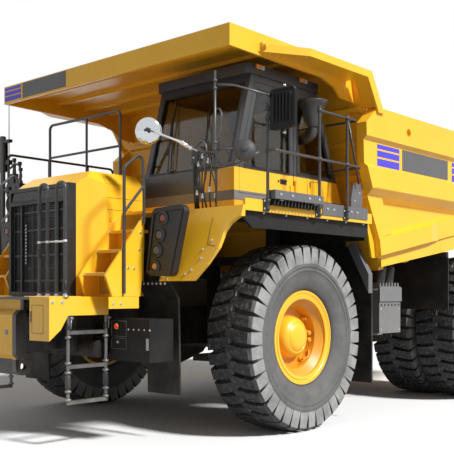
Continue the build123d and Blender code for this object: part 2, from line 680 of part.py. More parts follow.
hub_face = 1600.0 + fit
for name, side in (("left", 1), ("right", -1)):
    y = side * front_track / 2
    with BuildPart() as tyre:
        revolve_y(tyre_section, 0, y, tyre_r, side)
    save(tyre.part, "tyre_front_" + name)
    with BuildPart() as rim:
        revolve_y(rim_section(20, 180, 105, hub_face - front_track / 2), 0, y, tyre_r, side)
    save(rim.part, "rim_front_" + name)

drum_in = 800.0 + fit
for name, side in (("left", 1), ("right", -1)):
    y_in = side * (rear_track / 2 - twin_pitch / 2)
    y_out = side * (rear_track / 2 + twin_pitch / 2)
    with BuildPart() as tyres:
        for y in (y_in, y_out):
            revolve_y(tyre_section, -wheelbase, y, tyre_r, side)
    save(tyres.part, "tyres_rear_" + name)
    w, b, o = rim_half_w, tyre_bead_r, twin_pitch / 2
    barrel = b - rim_t
    with BuildPart() as rims:
        # two rims on one hub drum: section from the inner rim to the outer
        revolve_y([
            (rim_flange_r, o + w), (rim_flange_r, o + w - rim_t), (b, o + w - rim_t), (b, o - w + rim_t),
            (rim_flange_r, o - w + rim_t), (rim_flange_r, o - w), (barrel + 8, o - w),
            (barrel + 8, -o + w), (rim_flange_r, -o + w), (rim_flange_r, -o + w - rim_t), (b, -o + w - rim_t),
            (b, -o - w + rim_t), (rim_flange_r, -o - w + rim_t), (rim_flange_r, -o - w), (barrel, -o - w),
            (barrel, 40), (330, 40), (330, drum_in - rear_track / 2), (0, drum_in - rear_track / 2),
            (0, 440), (150, 440), (210, 410), (250, 330), (330, 300), (330, 80), (barrel - 30, 80),
            (barrel, 110), (barrel, o + w),
        ], -wheelbase, side * rear_track / 2, tyre_r, side)
    save(rims.part, "rims_rear_" + name)

# ======================= rear axle =======================
strut_room = rear_track / 2 - twin_pitch / 2 - tyre_w / 2 - rail_out_y   # between the rail and the inner tyre
strut_y = rail_out_y + strut_room / 2
strut_x = -wheelbase - 400
shaft_front = (-820.0, 0.0, 1350.0)
shaft_rear = (-3850.0, 0.0, 1190.0)
nose = 300 / hypot(shaft_rear[0] - shaft_front[0], shaft_rear[2] - shaft_front[2])
with BuildPart() as rear_axle:
    rod(shaft_rear, [b + nose * (b - a) for a, b in zip(shaft_front, shaft_rear)], 120)
    rod((-wheelbase, -800, tyre_r), (-wheelbase, 800, tyre_r), 240)
    for side in (1, -1):
        rod((-wheelbase, side * 740, tyre_r), (-wheelbase, side * 800, tyre_r), 300)
    rod((-wheelbase - 210, 0, tyre_r), (-wheelbase + 190, 0, tyre_r), 340)
    slab_z([(-wheelbase, -300), (-wheelbase, 300), (-3100, 90), (-3100, -90)], 900, 1080)
    block(-3160, -2950, -rail_in_y, rail_in_y, 950, 1040)
    block(-3160, -3000, -rail_in_y, -rail_in_y + 80, 950, 1300)
    block(-3160, -3000, rail_in_y - 80, rail_in_y, 950, 1300)
    for side in (1, -1):
        block(-wheelbase - 480, -wheelbase, *sorted((side * (strut_y - 60), side * (strut_y + 40))), 900, 1000)
save(rear_axle.part, "rear_axle")

with BuildPart() as rear_struts:
    for side in (1, -1):
        rod((strut_x, side * strut_y, 1010), (strut_x, side * strut_y, 1480), 0.31 * strut_room)
        rod((strut_x, side * strut_y, 1480), (strut_x, side * strut_y, 1640), 0.21 * strut_room)
        block(strut_x - 70, strut_x + 70, *sorted((side * rail_out_y, side * (strut_y + 75))), 1640, 1700)
        block(strut_x - 60, strut_x + 60, *sorted((side * (strut_y - 40), side * (strut_y + 40))), 1000, 1010)
save(rear_struts.part, "rear_struts")

with BuildPart() as driveshaft:
    rod((-700, 0, shaft_front[2]), (shaft_front[0], 0, shaft_front[2]), 90)
    rod(shaft_front, shaft_rear, 60)
save(driveshaft.part, "driveshaft")

# ======================= body =======================
rail_zb = rail_top_z - 0.2044 * side_h
side_section = [  # y, z: outside of the side wall from the rail down, then back up inside
    (2160, rail_top_z), (body_half_width, rail_top_z), (body_half_width, rail_zb), (2255, rail_zb - 0.022 * side_h),
    (2255, rail_zb - 0.182 * side_h), (2290, rail_zb - 0.199 * side_h), (2290, shelf_z + 30),
    (wall_y, shelf_z - 110), (wall_y, 1900), (wall_y - wall_t, 1900), (wall_y - wall_t, shelf_z - 30), (2160, shelf_z + 30),
]
tail_top_x = -6550.0
in_y = wall_y - wall_t         # inside face of the lower side walls
side_front = [                 # x, z of the side's front edge, from the floor to the top rail
    (-1230, floor_front_z), (-1010, shelf_z - 20), (-850, rail_zb - 0.171 * side_h),
    (-830, rail_top_z - 0.116 * side_h), (-1080, rail_top_z),
]


def along_floor(section, x0, x1):
    """Section (y, height over the floor line) carried along the sloping floor from x0 to x1."""
    start = Vector(fx(x0), 0, floor_top(x0))
    end = Vector(fx(x1), 0, floor_top(x1))
    with BuildSketch(Plane(origin=start, x_dir=(0, 1, 0), z_dir=end - start)) as s:
        with BuildLine():
            Polyline(*[(y, -h) for y, h in section], close=True)
        make_face()
    extrude(s.sketch, amount=(end - start).length)


for name, side in (("body_side_left", 1), ("body_side_right", -1)):
    with BuildPart() as wall:
        slab_x([(side * y, z) for y, z in side_section], floor_tail_x, side_front[3][0])
        # below the floor, ahead of the front wall, and behind the sloping tail
        slab_y([(0, 1000), (0, floor_front_z), (body_front_x, floor_front_z), (floor_kick_x, floor_kick_z),
                (floor_tail_x, floor_tail_z), (floor_tail_x - 100, floor_tail_z), (floor_tail_x - 100, 1000)],
               -3000, 3000, Mode.SUBTRACT)
        slab_y([*side_front, (500, rail_top_z), (500, floor_front_z)], -3000, 3000, Mode.SUBTRACT)
        slab_y([(floor_tail_x, floor_tail_z), (tail_top_x, 4000), (floor_tail_x - 200, 4000),
                (floor_tail_x - 200, floor_tail_z)], -3000, 3000, Mode.SUBTRACT)
        # box rail along the foot, thicker at its front end, and the front post above it
        along_floor([(side * (wall_y - 1), 20), (side * (wall_y - 1), 310), (side * 2160, 285), (side * 2160, 45)],
                    -2700, floor_kick_x)
        along_floor([(side * (wall_y - 1), 20), (side * (wall_y - 1), 310), (side * 2205, 262), (side * 2205, 50)],
                    -1330, -2900)
        slab_z([(-2620, side * 2206), (-2880, side * 2160), (-3000, side * 2160), (-3000, side * 2300),
                (-2620, side * 2300)], 1900, shelf_z - 150, Mode.SUBTRACT)
        # nothing of the rail stands inside the body, above the shelf
        slab_x([(side * in_y, shelf_z - 30), (side * 2160, shelf_z + 30), (side * 2160, shelf_z + 400),
                (side * (in_y - 10), shelf_z + 400), (side * (in_y - 10), shelf_z - 30)],
               floor_tail_x, -1300, Mode.SUBTRACT)
        slab_y([(-1010, shelf_z - 45), (-1340, shelf_z - 45), (-1590, floor_top(-1590) + 290),
                (-1290, floor_top(-1290) + 270)], *sorted((side * (wall_y - 1), side * 2195)))
        # lifting hole through the top rail
        hole_z = rail_top_z - 0.113 * side_h
        rod((-1830, side * 2100, hole_z), (-1830, side * 2350, hole_z), 50, Mode.SUBTRACT)
    save(wall.part, name)


def floor_under(x):
    return floor_top(x) - floor_t


def edge_rail_foot(x):
    """Underside of the rail along the floor's edge."""
    t = (x - body_front_x) / (floor_kick_x - body_front_x)
    return floor_front_z - 110 + t * (floor_kick_z - 230 - floor_front_z + 110)


cross_beams = [  # x ahead of the front axle, depth under the floor
    (-1700, 150),
    (-2350, 150),
    (-3750, 160),
    (-4550, 160),
    (-5350, 160),
    (-6300, 130),
]
with BuildPart() as body_floor:
    slab_y([(body_front_x, floor_front_z), (floor_kick_x, floor_kick_z), (floor_tail_x, floor_tail_z),
            (floor_tail_x, floor_tail_z - floor_t), (floor_kick_x, floor_kick_z - floor_t),
            (body_front_x, floor_front_z - floor_t)], -wall_y, wall_y)
    for side in (1, -1):
        slab_y([(body_front_x, floor_front_z - 5), (floor_kick_x, floor_kick_z - 5),
                (floor_tail_x + 40, floor_top(floor_tail_x + 40) - 5), (floor_tail_x + 40, floor_tail_z - 160),
                (floor_kick_x, edge_rail_foot(floor_kick_x)), (body_front_x, edge_rail_foot(body_front_x))],
               *sorted((side * 1960, side * wall_y)))
    for x, depth in cross_beams:
        slab_y([(x - 60, floor_top(x - 60) - 5), (x + 60, floor_top(x + 60) - 5),
                (x + 60, floor_under(x + 60) - depth), (x - 60, floor_under(x - 60) - depth)], -1970, 1970)
    # the stringers pass through the beams
    for side in (1, -1):
        slab_y([(-1400, floor_under(-1400)), (floor_kick_x, floor_under(floor_kick_x)),
                (-6500, floor_under(-6500)), (-6500, 1500), (-1400, 1500)],
               *sorted((side * rail_in_y, side * (rail_out_y + 80))), Mode.SUBTRACT)
save(body_floor.part, "body_floor")

with BuildPart() as body_front_wall:
    for z0, z1, hw in ((floor_front_z, shelf_z - 30, in_y), (shelf_z - 30, rail_top_z, 2200),
                       (rail_top_z, canopy_under_z, wall_y)):
        slab_y([(wall_x(z0), z0), (wall_x(z1), z1), (wall_x(z1) + 25, z1), (wall_x(z0) + 25, z0)], -hw, hw)
    block(body_front_x, body_front_x + 25, -in_y, in_y, floor_front_z - floor_t, floor_front_z)
    for part in (0.31, 0.53, 0.75, 0.97):
        z = floor_front_z + part * (rail_top_z - floor_front_z)
        hw = in_y if z < shelf_z - 30 or part > 0.9 else 2200
        slab_y([(wall_x(z) + 25, z), (wall_x(z + 90) + 25, z + 90), (wall_x(z + 90) + 75, z + 70),
                (wall_x(z) + 75, z + 20)], -hw, hw)
    for side in (1, -1):
        slab_x([(side * y, z) for y, z in side_section], -1600, -800, Mode.SUBTRACT)
save(body_front_wall.part, "body_front_wall")

beam_z = canopy_top_z - 230    # foot of the canopy's front and side beams
wing_z = canopy_top_z - 200    # underside of the wings outside the side beams
with BuildPart() as body_canopy:
    head = wall_x(canopy_under_z)
    e = canopy_front_hw
    block(head, canopy_front_x, -e, e, canopy_under_z, canopy_top_z - 30)
    block(canopy_front_x - 40, canopy_front_x, -e, e, beam_z, canopy_top_z)
    for side in (1, -1):
        # side beam from the front edge to the front wall, deeper towards the wall
        slab_y([(canopy_front_x, beam_z), (canopy_front_x, canopy_top_z), (head, canopy_top_z),
                (head, canopy_under_z), (head + 25, canopy_under_z), (wall_x(rail_top_z + 70) + 25, rail_top_z + 70),
                (-700, rail_top_z + 90), (-560, rail_top_z + 200), (-300, beam_z - 20)],
               *sorted((side * (e - 30), side * e)))
        # wing with its turned-up lip
        slab_z([(860, side * e), (330, side * wing_hw), (-820, side * wing_hw), (-820, side * e)],
               wing_z, wing_z + 30)
        for p, q in (((860, e), (330, wing_hw)), ((330, wing_hw), (-820, wing_hw))):
            slab_z([(p[0], side * p[1]), (q[0], side * q[1]), (q[0], side * (q[1] - 30)),
                    (p[0], side * (p[1] - 30))], wing_z, wing_z + 85)
        # leaning end of the wing, down to the top rail, with its outer flange
        slab_y([(-820, wing_z), (-820, wing_z + 30), (-870, wing_z + 30), (-1110, rail_top_z), (-1060, rail_top_z)],
               *sorted((side * wall_y, side * (wing_hw - 30))))
        slab_y([(-820, wing_z), (-820, wing_z + 85), (-905, wing_z + 85), (-1190, rail_top_z - 70),
                (-1060, rail_top_z - 70)], *sorted((side * (wing_hw - 30), side * wing_hw)))
    # ribs across the underside
    for x in (850, 380, -90, -560):
        block(x, x + 60, -e + 30, e - 30, canopy_under_z - 45, canopy_under_z)
save(body_canopy.part, "body_canopy")

with BuildPart() as body_underframe:
    for side in (1, -1):
        # stringer that rests along the frame rail
        slab_y([(body_front_x, floor_under(body_front_x)), (body_front_x, frame_top_z + 20),
                (pivot_f + 200, frame_top_z + 20), (pivot_f + 120, frame_top_z + 160),
                (pivot_f - 550, 2500), (pivot_f - 550, floor_under(pivot_f - 550)),
                (floor_kick_x, floor_under(floor_kick_x))],
               *sorted((side * rail_in_y, side * rail_out_y)))
        # hinge ears outside the rails
        ear = [(pivot_f + 260, floor_under(pivot_f + 260)), (pivot_f + 110, pivot_z),
               (pivot_f + 50, pivot_z - 100), (pivot_f - 50, pivot_z - 100), (pivot_f - 110, pivot_z),
               (pivot_f - 240, floor_under(pivot_f - 240))]
        slab_y(ear, *sorted((side * (rail_out_y + 15), side * (rail_out_y + 75))))
        slab_y([(pivot_f + 230, floor_under(pivot_f + 230)), (pivot_f + 160, 2120), (pivot_f - 150, 2120),
                (pivot_f - 230, floor_under(pivot_f - 230))],
               *sorted((side * (rail_out_y - 20), side * (rail_out_y + 20))))
        rod((pivot_f, side * (rail_out_y + 10), pivot_z), (pivot_f, side * (rail_out_y + 80), pivot_z),
            pivot_r + fit, Mode.SUBTRACT)
        # hoist lugs
        hx, hz = hoist_head
        for y in (hoist_y - 65, hoist_y + 40):
            slab_y([(hx + 140, floor_under(hx + 140)), (hx + 60, hz - 60), (hx - 60, hz - 60),
                    (hx - 150, floor_under(hx - 150))], *sorted((side * y, side * (y + 25))))
save(body_underframe.part, "body_underframe")

with BuildPart() as body_mudguards:
    for side in (1, -1):
        y0, y1 = sorted((side * 850, side * 2200))
        block(-3120, -3100, y0, y1, 1330, 2060)
        slab_y([(-3120, 2060), (-3060, 2060), (-3060, edge_rail_foot(-3060)), (-3120, edge_rail_foot(-3120))],
               *sorted((side * 1300, side * 2195)))
        block(-3100, -3060, *sorted((side * 1970, side * 2060)), 1980, 2060)
save(body_mudguards.part, "body_mudguards")

# ======================= hoist =======================
hx0, hz0 = hoist_foot
hx1, hz1 = hoist_head
length = hypot(hx1 - hx0, hz1 - hz0)
ux, uz = (hx1 - hx0) / length, (hz1 - hz0) / length


def along(d, y):
    return (hx0 + ux * d, y, hz0 + uz * d)


for name, side in (("left", 1), ("right", -1)):
    y = side * hoist_y
    with BuildPart() as barrel:
        rod((hx0, y - 60, hz0), (hx0, y + 60, hz0), 95)
        rod(along(70, y), along(1090, y), 105)
        rod(along(130, y), along(1095, y), 88, Mode.SUBTRACT)
        rod((hx0, y - 70, hz0), (hx0, y + 70, hz0), 50 + fit, Mode.SUBTRACT)
    save(barrel.part, "hoist_barrel_" + name)
    with BuildPart() as tube:
        rod(along(140, y), along(1120, y), 88 - fit)
        rod(along(170, y), along(1125, y), 66, Mode.SUBTRACT)
    save(tube.part, "hoist_tube_" + name)
    with BuildPart() as head_rod:
        rod(along(180, y), along(length - 130, y), 66 - fit)
        rod(along(length - 130, y), along(length - 60, y), 32)
        rod((hx1, y - 30, hz1), (hx1, y + 30, hz1), 80)
        rod((hx1, y - 35, hz1), (hx1, y + 35, hz1), 45, Mode.SUBTRACT)
    save(head_rod.part, "hoist_rod_" + name)
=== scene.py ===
import math
import random

import bmesh
import bpy
from mathutils import Matrix, Vector


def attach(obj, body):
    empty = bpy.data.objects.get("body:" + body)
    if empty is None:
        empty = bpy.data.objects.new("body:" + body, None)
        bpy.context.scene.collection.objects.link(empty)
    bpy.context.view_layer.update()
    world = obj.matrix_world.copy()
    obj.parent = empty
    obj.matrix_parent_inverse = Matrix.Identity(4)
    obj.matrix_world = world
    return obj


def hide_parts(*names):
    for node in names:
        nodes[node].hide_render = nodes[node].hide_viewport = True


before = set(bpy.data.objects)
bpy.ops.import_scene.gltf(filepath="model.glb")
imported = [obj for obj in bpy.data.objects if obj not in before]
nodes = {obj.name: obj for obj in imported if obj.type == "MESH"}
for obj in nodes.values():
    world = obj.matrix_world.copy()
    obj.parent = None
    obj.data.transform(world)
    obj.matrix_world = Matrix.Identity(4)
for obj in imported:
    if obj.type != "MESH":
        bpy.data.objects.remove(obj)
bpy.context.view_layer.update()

# ==== View, light and floor ====
# A pale studio floor under one wide lamp, high on the truck's left and a touch behind it.
# The room is white all round and gives the soft fill.
view_heading = math.radians(41.77)        # from straight back, towards the truck's right
view_line = Vector((-math.cos(view_heading), -math.sin(view_heading), 0))
camera = bpy.data.objects.new("camera", bpy.data.cameras.new("camera"))
bpy.context.collection.objects.link(camera)
camera.location = (9.771, 7.595, 1.576)
camera.rotation_euler = view_line.to_track_quat("-Z", "Y").to_euler()
camera.data.sensor_width = 36
camera.data.sensor_fit = "HORIZONTAL"
camera.data.lens = 65.55
camera.data.shift_y = 0.1433
camera.data.clip_end = 200
bpy.context.scene.camera = camera
bpy.context.scene.view_settings.view_transform = "Standard"

lamp = bpy.data.objects.new("key_lamp", bpy.data.lights.new("key_lamp", "SUN"))
bpy.context.collection.objects.link(lamp)
lamp.data.energy = 4.6
lamp.data.angle = math.radians(8)
lamp_line = Vector((0.05, -0.50, -0.48))  # the way its light falls
lamp.rotation_euler = lamp_line.to_track_quat("-Z", "Y").to_euler()


def put(tree, kind, out=0, **given):
    """A shader node with its settings, values and links; gives back the output asked for."""
    node = tree.nodes.new("ShaderNode" + kind)
    for key, value in given.items():
        if key[:2] == "in" and key[2:].isdigit():
            socket = node.inputs[int(key[2:])]
        elif key.replace("_", " ") in node.inputs:
            socket = node.inputs[key.replace("_", " ")]
        else:
            setattr(node, key, value)
            continue
        if isinstance(value, bpy.types.NodeSocket):
            tree.links.new(value, socket)
        else:
            socket.default_value = value
    return node.outputs[out] if node.outputs else None


def seen_straight(tree):
    """1 where the camera, a reflection or glass looks at the surface, 0 for its light."""
    rays = put(tree, "LightPath").node.outputs
    both = put(tree, "Math", operation="MAXIMUM", in0=rays["Is Camera Ray"], in1=rays["Is Glossy Ray"])
    return put(tree, "Math", operation="MAXIMUM", in0=both, in1=rays["Is Transmission Ray"])


fill_level = 0.30                         # of the white room, as it lights the truck
room = bpy.data.worlds.new("room")
bpy.context.scene.world = room
room.use_nodes = True
tree = room.node_tree
tree.nodes.clear()
level = put(tree, "MapRange", in0=seen_straight(tree), in3=fill_level, in4=1.0)
sky = put(tree, "Background", Color=(1, 1, 1, 1), Strength=level)
put(tree, "OutputWorld", Surface=sky)

floor_reach = 90                          # metres each way, past anything that a view shows
bounce_grey, floor_grey = 0.36, 0.84      # as the floor lights the truck, and as it is seen
floor_corners = [(x * floor_reach, y * floor_reach, 0) for x, y in ((-1, -1), (1, -1), (1, 1), (-1, 1))]
floor_mesh = bpy.data.meshes.new("floor")
floor_mesh.from_pydata(floor_corners, [], [(0, 1, 2, 3)])
floor = bpy.data.objects.new("floor", floor_mesh)
bpy.context.collection.objects.link(floor)
pale = bpy.data.materials.new("pale_floor")
pale.use_nodes = True
tree = pale.node_tree
tree.nodes.clear()
shade = put(tree, "MapRange", in0=seen_straight(tree), in3=bounce_grey, in4=floor_grey)
white = put(tree, "CombineColor", in0=shade, in1=shade, in2=shade)
put(tree, "OutputMaterial", Surface=put(tree, "BsdfDiffuse", Color=white))
floor_mesh.materials.append(pale)

# ==== Bumper, step platform, stairs and decks ====
# Welded steel plate, bolted to the frame rails in yellow enamel; the low ironwork is painted black.
# The enamel is sprayed: a faint orange peel, soft tone changes and a little road dust low down.
front_axle_x = 2.19                       # frame X of the front axle; sizes below count from it


def group(name, inputs, outputs):
    """A shader node group with named sockets, and its input and output nodes."""
    made = bpy.data.node_groups.new(name, "ShaderNodeTree")
    for label, kind, value in inputs:
        socket = made.interface.new_socket(label, in_out="INPUT", socket_type="NodeSocket" + kind)
        socket.default_value = value
    for label, kind in outputs:
        made.interface.new_socket(label, in_out="OUTPUT", socket_type="NodeSocket" + kind)
    return made, made.nodes.new("NodeGroupInput").outputs, made.nodes.new("NodeGroupOutput").inputs


def blend(tree, amount, a, b):
    """Colour b laid over colour a by an amount from 0 to 1."""
    return put(tree, "Mix", out=2, data_type="RGBA", blend_type="MIX", in0=amount, in6=a, in7=b)


sprayed_finish, given, result = group(
    "sprayed_finish",
    [("Paint", "Color", (0.8, 0.5, 0.1, 1)), ("Dust Colour", "Color", (0.42, 0.35, 0.26, 1)),
     ("Dust", "Float", 0.3), ("Rub", "Float", 0.2), ("Rub Colour", "Color", (0.3, 0.3, 0.3, 1)),
     ("Roughness", "Float", 0.35), ("Peel", "Float", 1.0)],
    [("Color", "Color"), ("Roughness", "Float"), ("Height", "Float")],
)
tree = sprayed_finish
place = put(tree, "TexCoord", out=3)
tone = put(tree, "TexNoise", Vector=place, Scale=0.9, Detail=3.0)
tone = put(tree, "MapRange", in0=tone, in1=0.3, in2=0.7, in3=0.93, in4=1.05)
toned = put(tree, "VectorMath", operation="SCALE", in0=given["Paint"], Scale=tone)
# dust settles low on the truck, in soft patches, and washes down in streaks
height = put(tree, "SeparateXYZ", out=2, in0=place)
low = put(tree, "MapRange", in0=height, in1=1.9, in2=0.2, in3=0.12, in4=1.0)
patch = put(tree, "TexNoise", Vector=place, Scale=3.5, Detail=6.0, Roughness=0.62)
patch = put(tree, "MapRange", in0=patch, in1=0.42, in2=0.72)
streak_place = put(tree, "VectorMath", operation="MULTIPLY", in0=place, in1=(14.0, 14.0, 0.7))
streak = put(tree, "TexNoise", Vector=streak_place, Scale=1.0, Detail=4.0)
streak = put(tree, "MapRange", in0=streak, in1=0.5, in2=0.78, in3=0.0, in4=0.55)
dusty = put(tree, "Math", operation="MAXIMUM", in0=patch, in1=streak)
dusty = put(tree, "Math", operation="MULTIPLY", in0=dusty, in1=low)
dusty = put(tree, "Math", operation="MULTIPLY", use_clamp=True, in0=dusty, in1=given["Dust"])
# paint rubs thin along the edges
rounded_face = put(tree, "Bevel", samples=4, Radius=0.010)
square_face = put(tree, "NewGeometry", out=1)
edge = put(tree, "VectorMath", operation="DOT_PRODUCT", out=1, in0=rounded_face, in1=square_face)
edge = put(tree, "MapRange", in0=edge, in1=0.995, in2=0.86)
grain = put(tree, "TexNoise", Vector=place, Scale=38.0, Detail=5.0, Roughness=0.7)
grain = put(tree, "MapRange", in0=grain, in1=0.5, in2=0.66)
rubbed = put(tree, "Math", operation="MULTIPLY", in0=edge, in1=grain)
rubbed = put(tree, "Math", operation="MULTIPLY", use_clamp=True, in0=rubbed, in1=given["Rub"])
colour = blend(tree, rubbed, toned, given["Rub Colour"])
tree.links.new(blend(tree, dusty, colour, given["Dust Colour"]), result["Color"])
smear = put(tree, "TexNoise", Vector=place, Scale=5.0, Detail=5.0)
smear = put(tree, "MapRange", in0=smear, in1=0.35, in2=0.7, in3=-0.05, in4=0.09)
rough = put(tree, "Math", operation="ADD", in0=given["Roughness"], in1=smear)
rough = put(tree, "Math", operation="MULTIPLY_ADD", use_clamp=True, in0=dusty, in1=0.45, in2=rough)
tree.links.new(rough, result["Roughness"])
peel = put(tree, "TexNoise", Vector=place, Scale=110.0, Detail=2.0)
peel = put(tree, "Math", operation="MULTIPLY", in0=peel, in1=given["Peel"])
raised = put(tree, "Math", operation="MULTIPLY_ADD", in0=patch, in1=0.25, in2=peel)
tree.links.new(raised, result["Height"])


def sprayed(name, paint, rough=0.35, dust=0.3, rub=0.25, rub_colour=(0.25, 0.24, 0.23), metallic=0.0,
            coat=0.0, peel=1.0, bump=0.12, gloss=None, paint_tree=None):
    """Enamel or another sprayed coat on steel. Its paint is one colour, or paint_tree's pattern."""
    mat = bpy.data.materials.new(name)
    mat.use_nodes = True
    tree = mat.node_tree
    skin = tree.nodes["Principled BSDF"]
    skin.inputs["Metallic"].default_value = metallic
    skin.inputs["Coat Weight"].default_value = coat
    skin.inputs["Coat Roughness"].default_value = 0.12
    if gloss is not None:
        skin.inputs["Specular IOR Level"].default_value = gloss
    coat_of = tree.nodes.new("ShaderNodeGroup")
    coat_of.node_tree = sprayed_finish
    for label, value in (("Dust", dust), ("Rub", rub), ("Roughness", rough), ("Peel", peel)):
        coat_of.inputs[label].default_value = value
    coat_of.inputs["Rub Colour"].default_value = (*rub_colour, 1)
    if paint_tree:
        tree.links.new(paint_tree(tree), coat_of.inputs["Paint"])
    else:
        coat_of.inputs["Paint"].default_value = (*paint, 1)
    tree.links.new(coat_of.outputs["Color"], skin.inputs["Base Color"])
    tree.links.new(coat_of.outputs["Roughness"], skin.inputs["Roughness"])
    bumped = put(tree, "Bump", Strength=bump, Distance=0.002, Height=coat_of.outputs["Height"])
    tree.links.new(bumped, skin.inputs["Normal"])
    return mat


def paint(material, *names):
    """Gives CAD nodes their finish."""
    for name in names:
        for held in nodes[name].material_slots:
            held.material = material


yellow = (0.95, 0.52, 0.022)
enamel = sprayed("yellow_enamel", yellow, rough=0.33, dust=0.22, coat=0.25, gloss=0.35)


def bumper_coat(tree):
    """Yellow on the beam's face only; the horns, tread block and towing eyes behind it are black."""
    place = put(tree, "TexCoord", out=3)
    x = put(tree, "SeparateXYZ", out=0, in0=place)
    z = put(tree, "SeparateXYZ", out=2, in0=place)
    ahead = put(tree, "MapRange", in0=x, in1=front_axle_x + 2.563, in2=front_axle_x + 2.566)
    above = put(tree, "MapRange", in0=z, in1=0.874, in2=0.877)
    across = put(tree, "Math", operation="ABSOLUTE", in0=put(tree, "SeparateXYZ", out=1, in0=place))
    within = put(tree, "MapRange", in0=across, in1=0.268, in2=0.264)
    face = put(tree, "Math", operation="MULTIPLY", in0=ahead, in1=above)
    face = put(tree, "Math", operation="MULTIPLY", in0=face, in1=within)
    return blend(tree, face, (0.014, 0.014, 0.015, 1), (*yellow, 1))


def platform_coat(tree):
    """The step boxes are yellow; the plate between them, under the grille, is black."""
    place = put(tree, "TexCoord", out=3)
    across = put(tree, "Math", operation="ABSOLUTE", in0=put(tree, "SeparateXYZ", out=1, in0=place))
    outer = put(tree, "MapRange", in0=across, in1=0.565, in2=0.568)
    return blend(tree, outer, (0.016, 0.016, 0.017, 1), (*yellow, 1))


bumper_enamel = sprayed("bumper_enamel", yellow, rough=0.40, dust=0.4, coat=0.1, paint_tree=bumper_coat)
paint(bumper_enamel, "front_bumper")
platform_enamel = sprayed("platform_enamel", yellow, rough=0.33, dust=0.22, coat=0.25,
                          paint_tree=platform_coat)
paint(platform_enamel, "front_platform")
paint(enamel, "stairs", "deck_left", "deck_right", "front_fenders", "engine_hood")
dark_steel = sprayed("dark_steel", (0.028, 0.028, 0.03), rough=0.5, dust=0.6, rub=0.4)
paint(dark_steel, "track_rod", "driveshaft")
iron = sprayed("engine_iron", (0.16, 0.15, 0.14), rough=0.6, dust=0.8, rub=0.1)
paint(iron, "engine_block")
grille_black = sprayed("grille_black", (0.012, 0.012, 0.013), rough=0.45, dust=0.2, rub=0.1)
paint(grille_black, "radiator_grille", "headlight_clusters", "cab_interior")
step_steel = sprayed("worn_step_steel", (0.115, 0.118, 0.122), rough=0.42, dust=0.5, metallic=0.5)
paint(step_steel, "access_ladders")

# ==== Dump body and hoists ====
# Welded wear plate in the same enamel, a little duller. The hoists' barrels are sprayed with the body;
# the stages that slide out of them are ground and hard-chromed bar.
body_paint = sprayed("body_enamel", yellow, rough=0.36, dust=0.3, coat=0.2, gloss=0.3)
paint(body_paint, "body_floor", "body_side_left", "body_side_right", "body_front_wall", "body_canopy",
      "body_underframe", "hoist_barrel_left", "hoist_barrel_right")
chrome = sprayed("polished_rod", (0.72, 0.73, 0.74), rough=0.12, dust=0.25, metallic=1.0, rub=0.0,
                 peel=0.1)
paint(chrome, "hoist_rod_left", "hoist_rod_right", "hoist_tube_left", "hoist_tube_right")


# ==== Cab glass ====
# Laminated safety glass, tinted grey-green and bonded into the cab and the door, under a thin film
# of dust.
def tinted(name, colour):
    """Clear tinted glass, dulled here and there by dust."""
    mat = bpy.data.materials.new(name)
    mat.use_nodes = True
    tree = mat.node_tree
    skin = tree.nodes["Principled BSDF"]
    skin.inputs["Transmission Weight"].default_value = 1.0
    skin.inputs["Base Color"].default_value = (*colour, 1)
    skin.inputs["IOR"].default_value = 1.45
    place = put(tree, "TexCoord", out=3)
    film = put(tree, "TexNoise", Vector=place, Scale=4.0, Detail=5.0)
    film = put(tree, "MapRange", in0=film, in1=0.4, in2=0.8, in3=0.0, in4=0.12)
    tree.links.new(film, skin.inputs["Roughness"])
    return mat


cab_tint = tinted("cab_tint", (0.42, 0.45, 0.43))
paint(cab_tint, "cab_glass", "cab_door_glass")


# ==== Tyres ====
# Off-road earthmover tyres with deep shoulder lugs that meet in a zigzag along the middle.
# Moulded rubber, greyed by dust on the walls; each is held on its rim by the bead and the lock ring.
def new_piece(name, body, mesh, *materials):
    """Makes a mesh, already in the frame's place, into a piece that rides on a body."""
    made = bpy.data.objects.new(name, mesh)
    bpy.context.collection.objects.link(made)
    for material in materials:
        mesh.materials.append(material)
    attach(made, body)
    return made


rubber = bpy.data.materials.new("tyre_rubber")
rubber.use_nodes = True
tree = rubber.node_tree
skin = tree.nodes["Principled BSDF"]
place = put(tree, "TexCoord", out=3)
sideways = put(tree, "SeparateXYZ", out=1, in0=put(tree, "NewGeometry", out=1))
facing = put(tree, "Math", operation="ABSOLUTE", in0=sideways)
wall = put(tree, "MapRange", in0=facing, in1=0.55, in2=0.95, in3=0.0, in4=1.0)
cloud = put(tree, "TexNoise", Vector=place, Scale=4.0, Detail=8.0, Roughness=0.65)
cloud = put(tree, "MapRange", in0=cloud, in1=0.3, in2=0.72, in3=0.35, in4=1.0)
dusted = put(tree, "Math", operation="MULTIPLY", in0=wall, in1=cloud)
speck = put(tree, "TexNoise", Vector=place, Scale=24.0, Detail=6.0, Roughness=0.6)
tread_dust = put(tree, "MapRange", in0=speck, in1=0.48, in2=0.78, in3=0.0, in4=0.36)
dusted = put(tree, "Math", operation="MAXIMUM", in0=dusted, in1=tread_dust)
colour = blend(tree, dusted, (0.026, 0.026, 0.027, 1), (0.155, 0.154, 0.152, 1))
tree.links.new(colour, skin.inputs["Base Color"])
rough = put(tree, "MapRange", in0=cloud, in1=0.5, in2=1.0, in3=0.62, in4=0.86)
tree.links.new(rough, skin.inputs["Roughness"])
scuff = put(tree, "TexNoise", Vector=place, Scale=45.0, Detail=8.0, Roughness=0.7)
tree.links.new(put(tree, "Bump", Strength=0.35, Distance=0.006, Height=scuff), skin.inputs["Normal"])

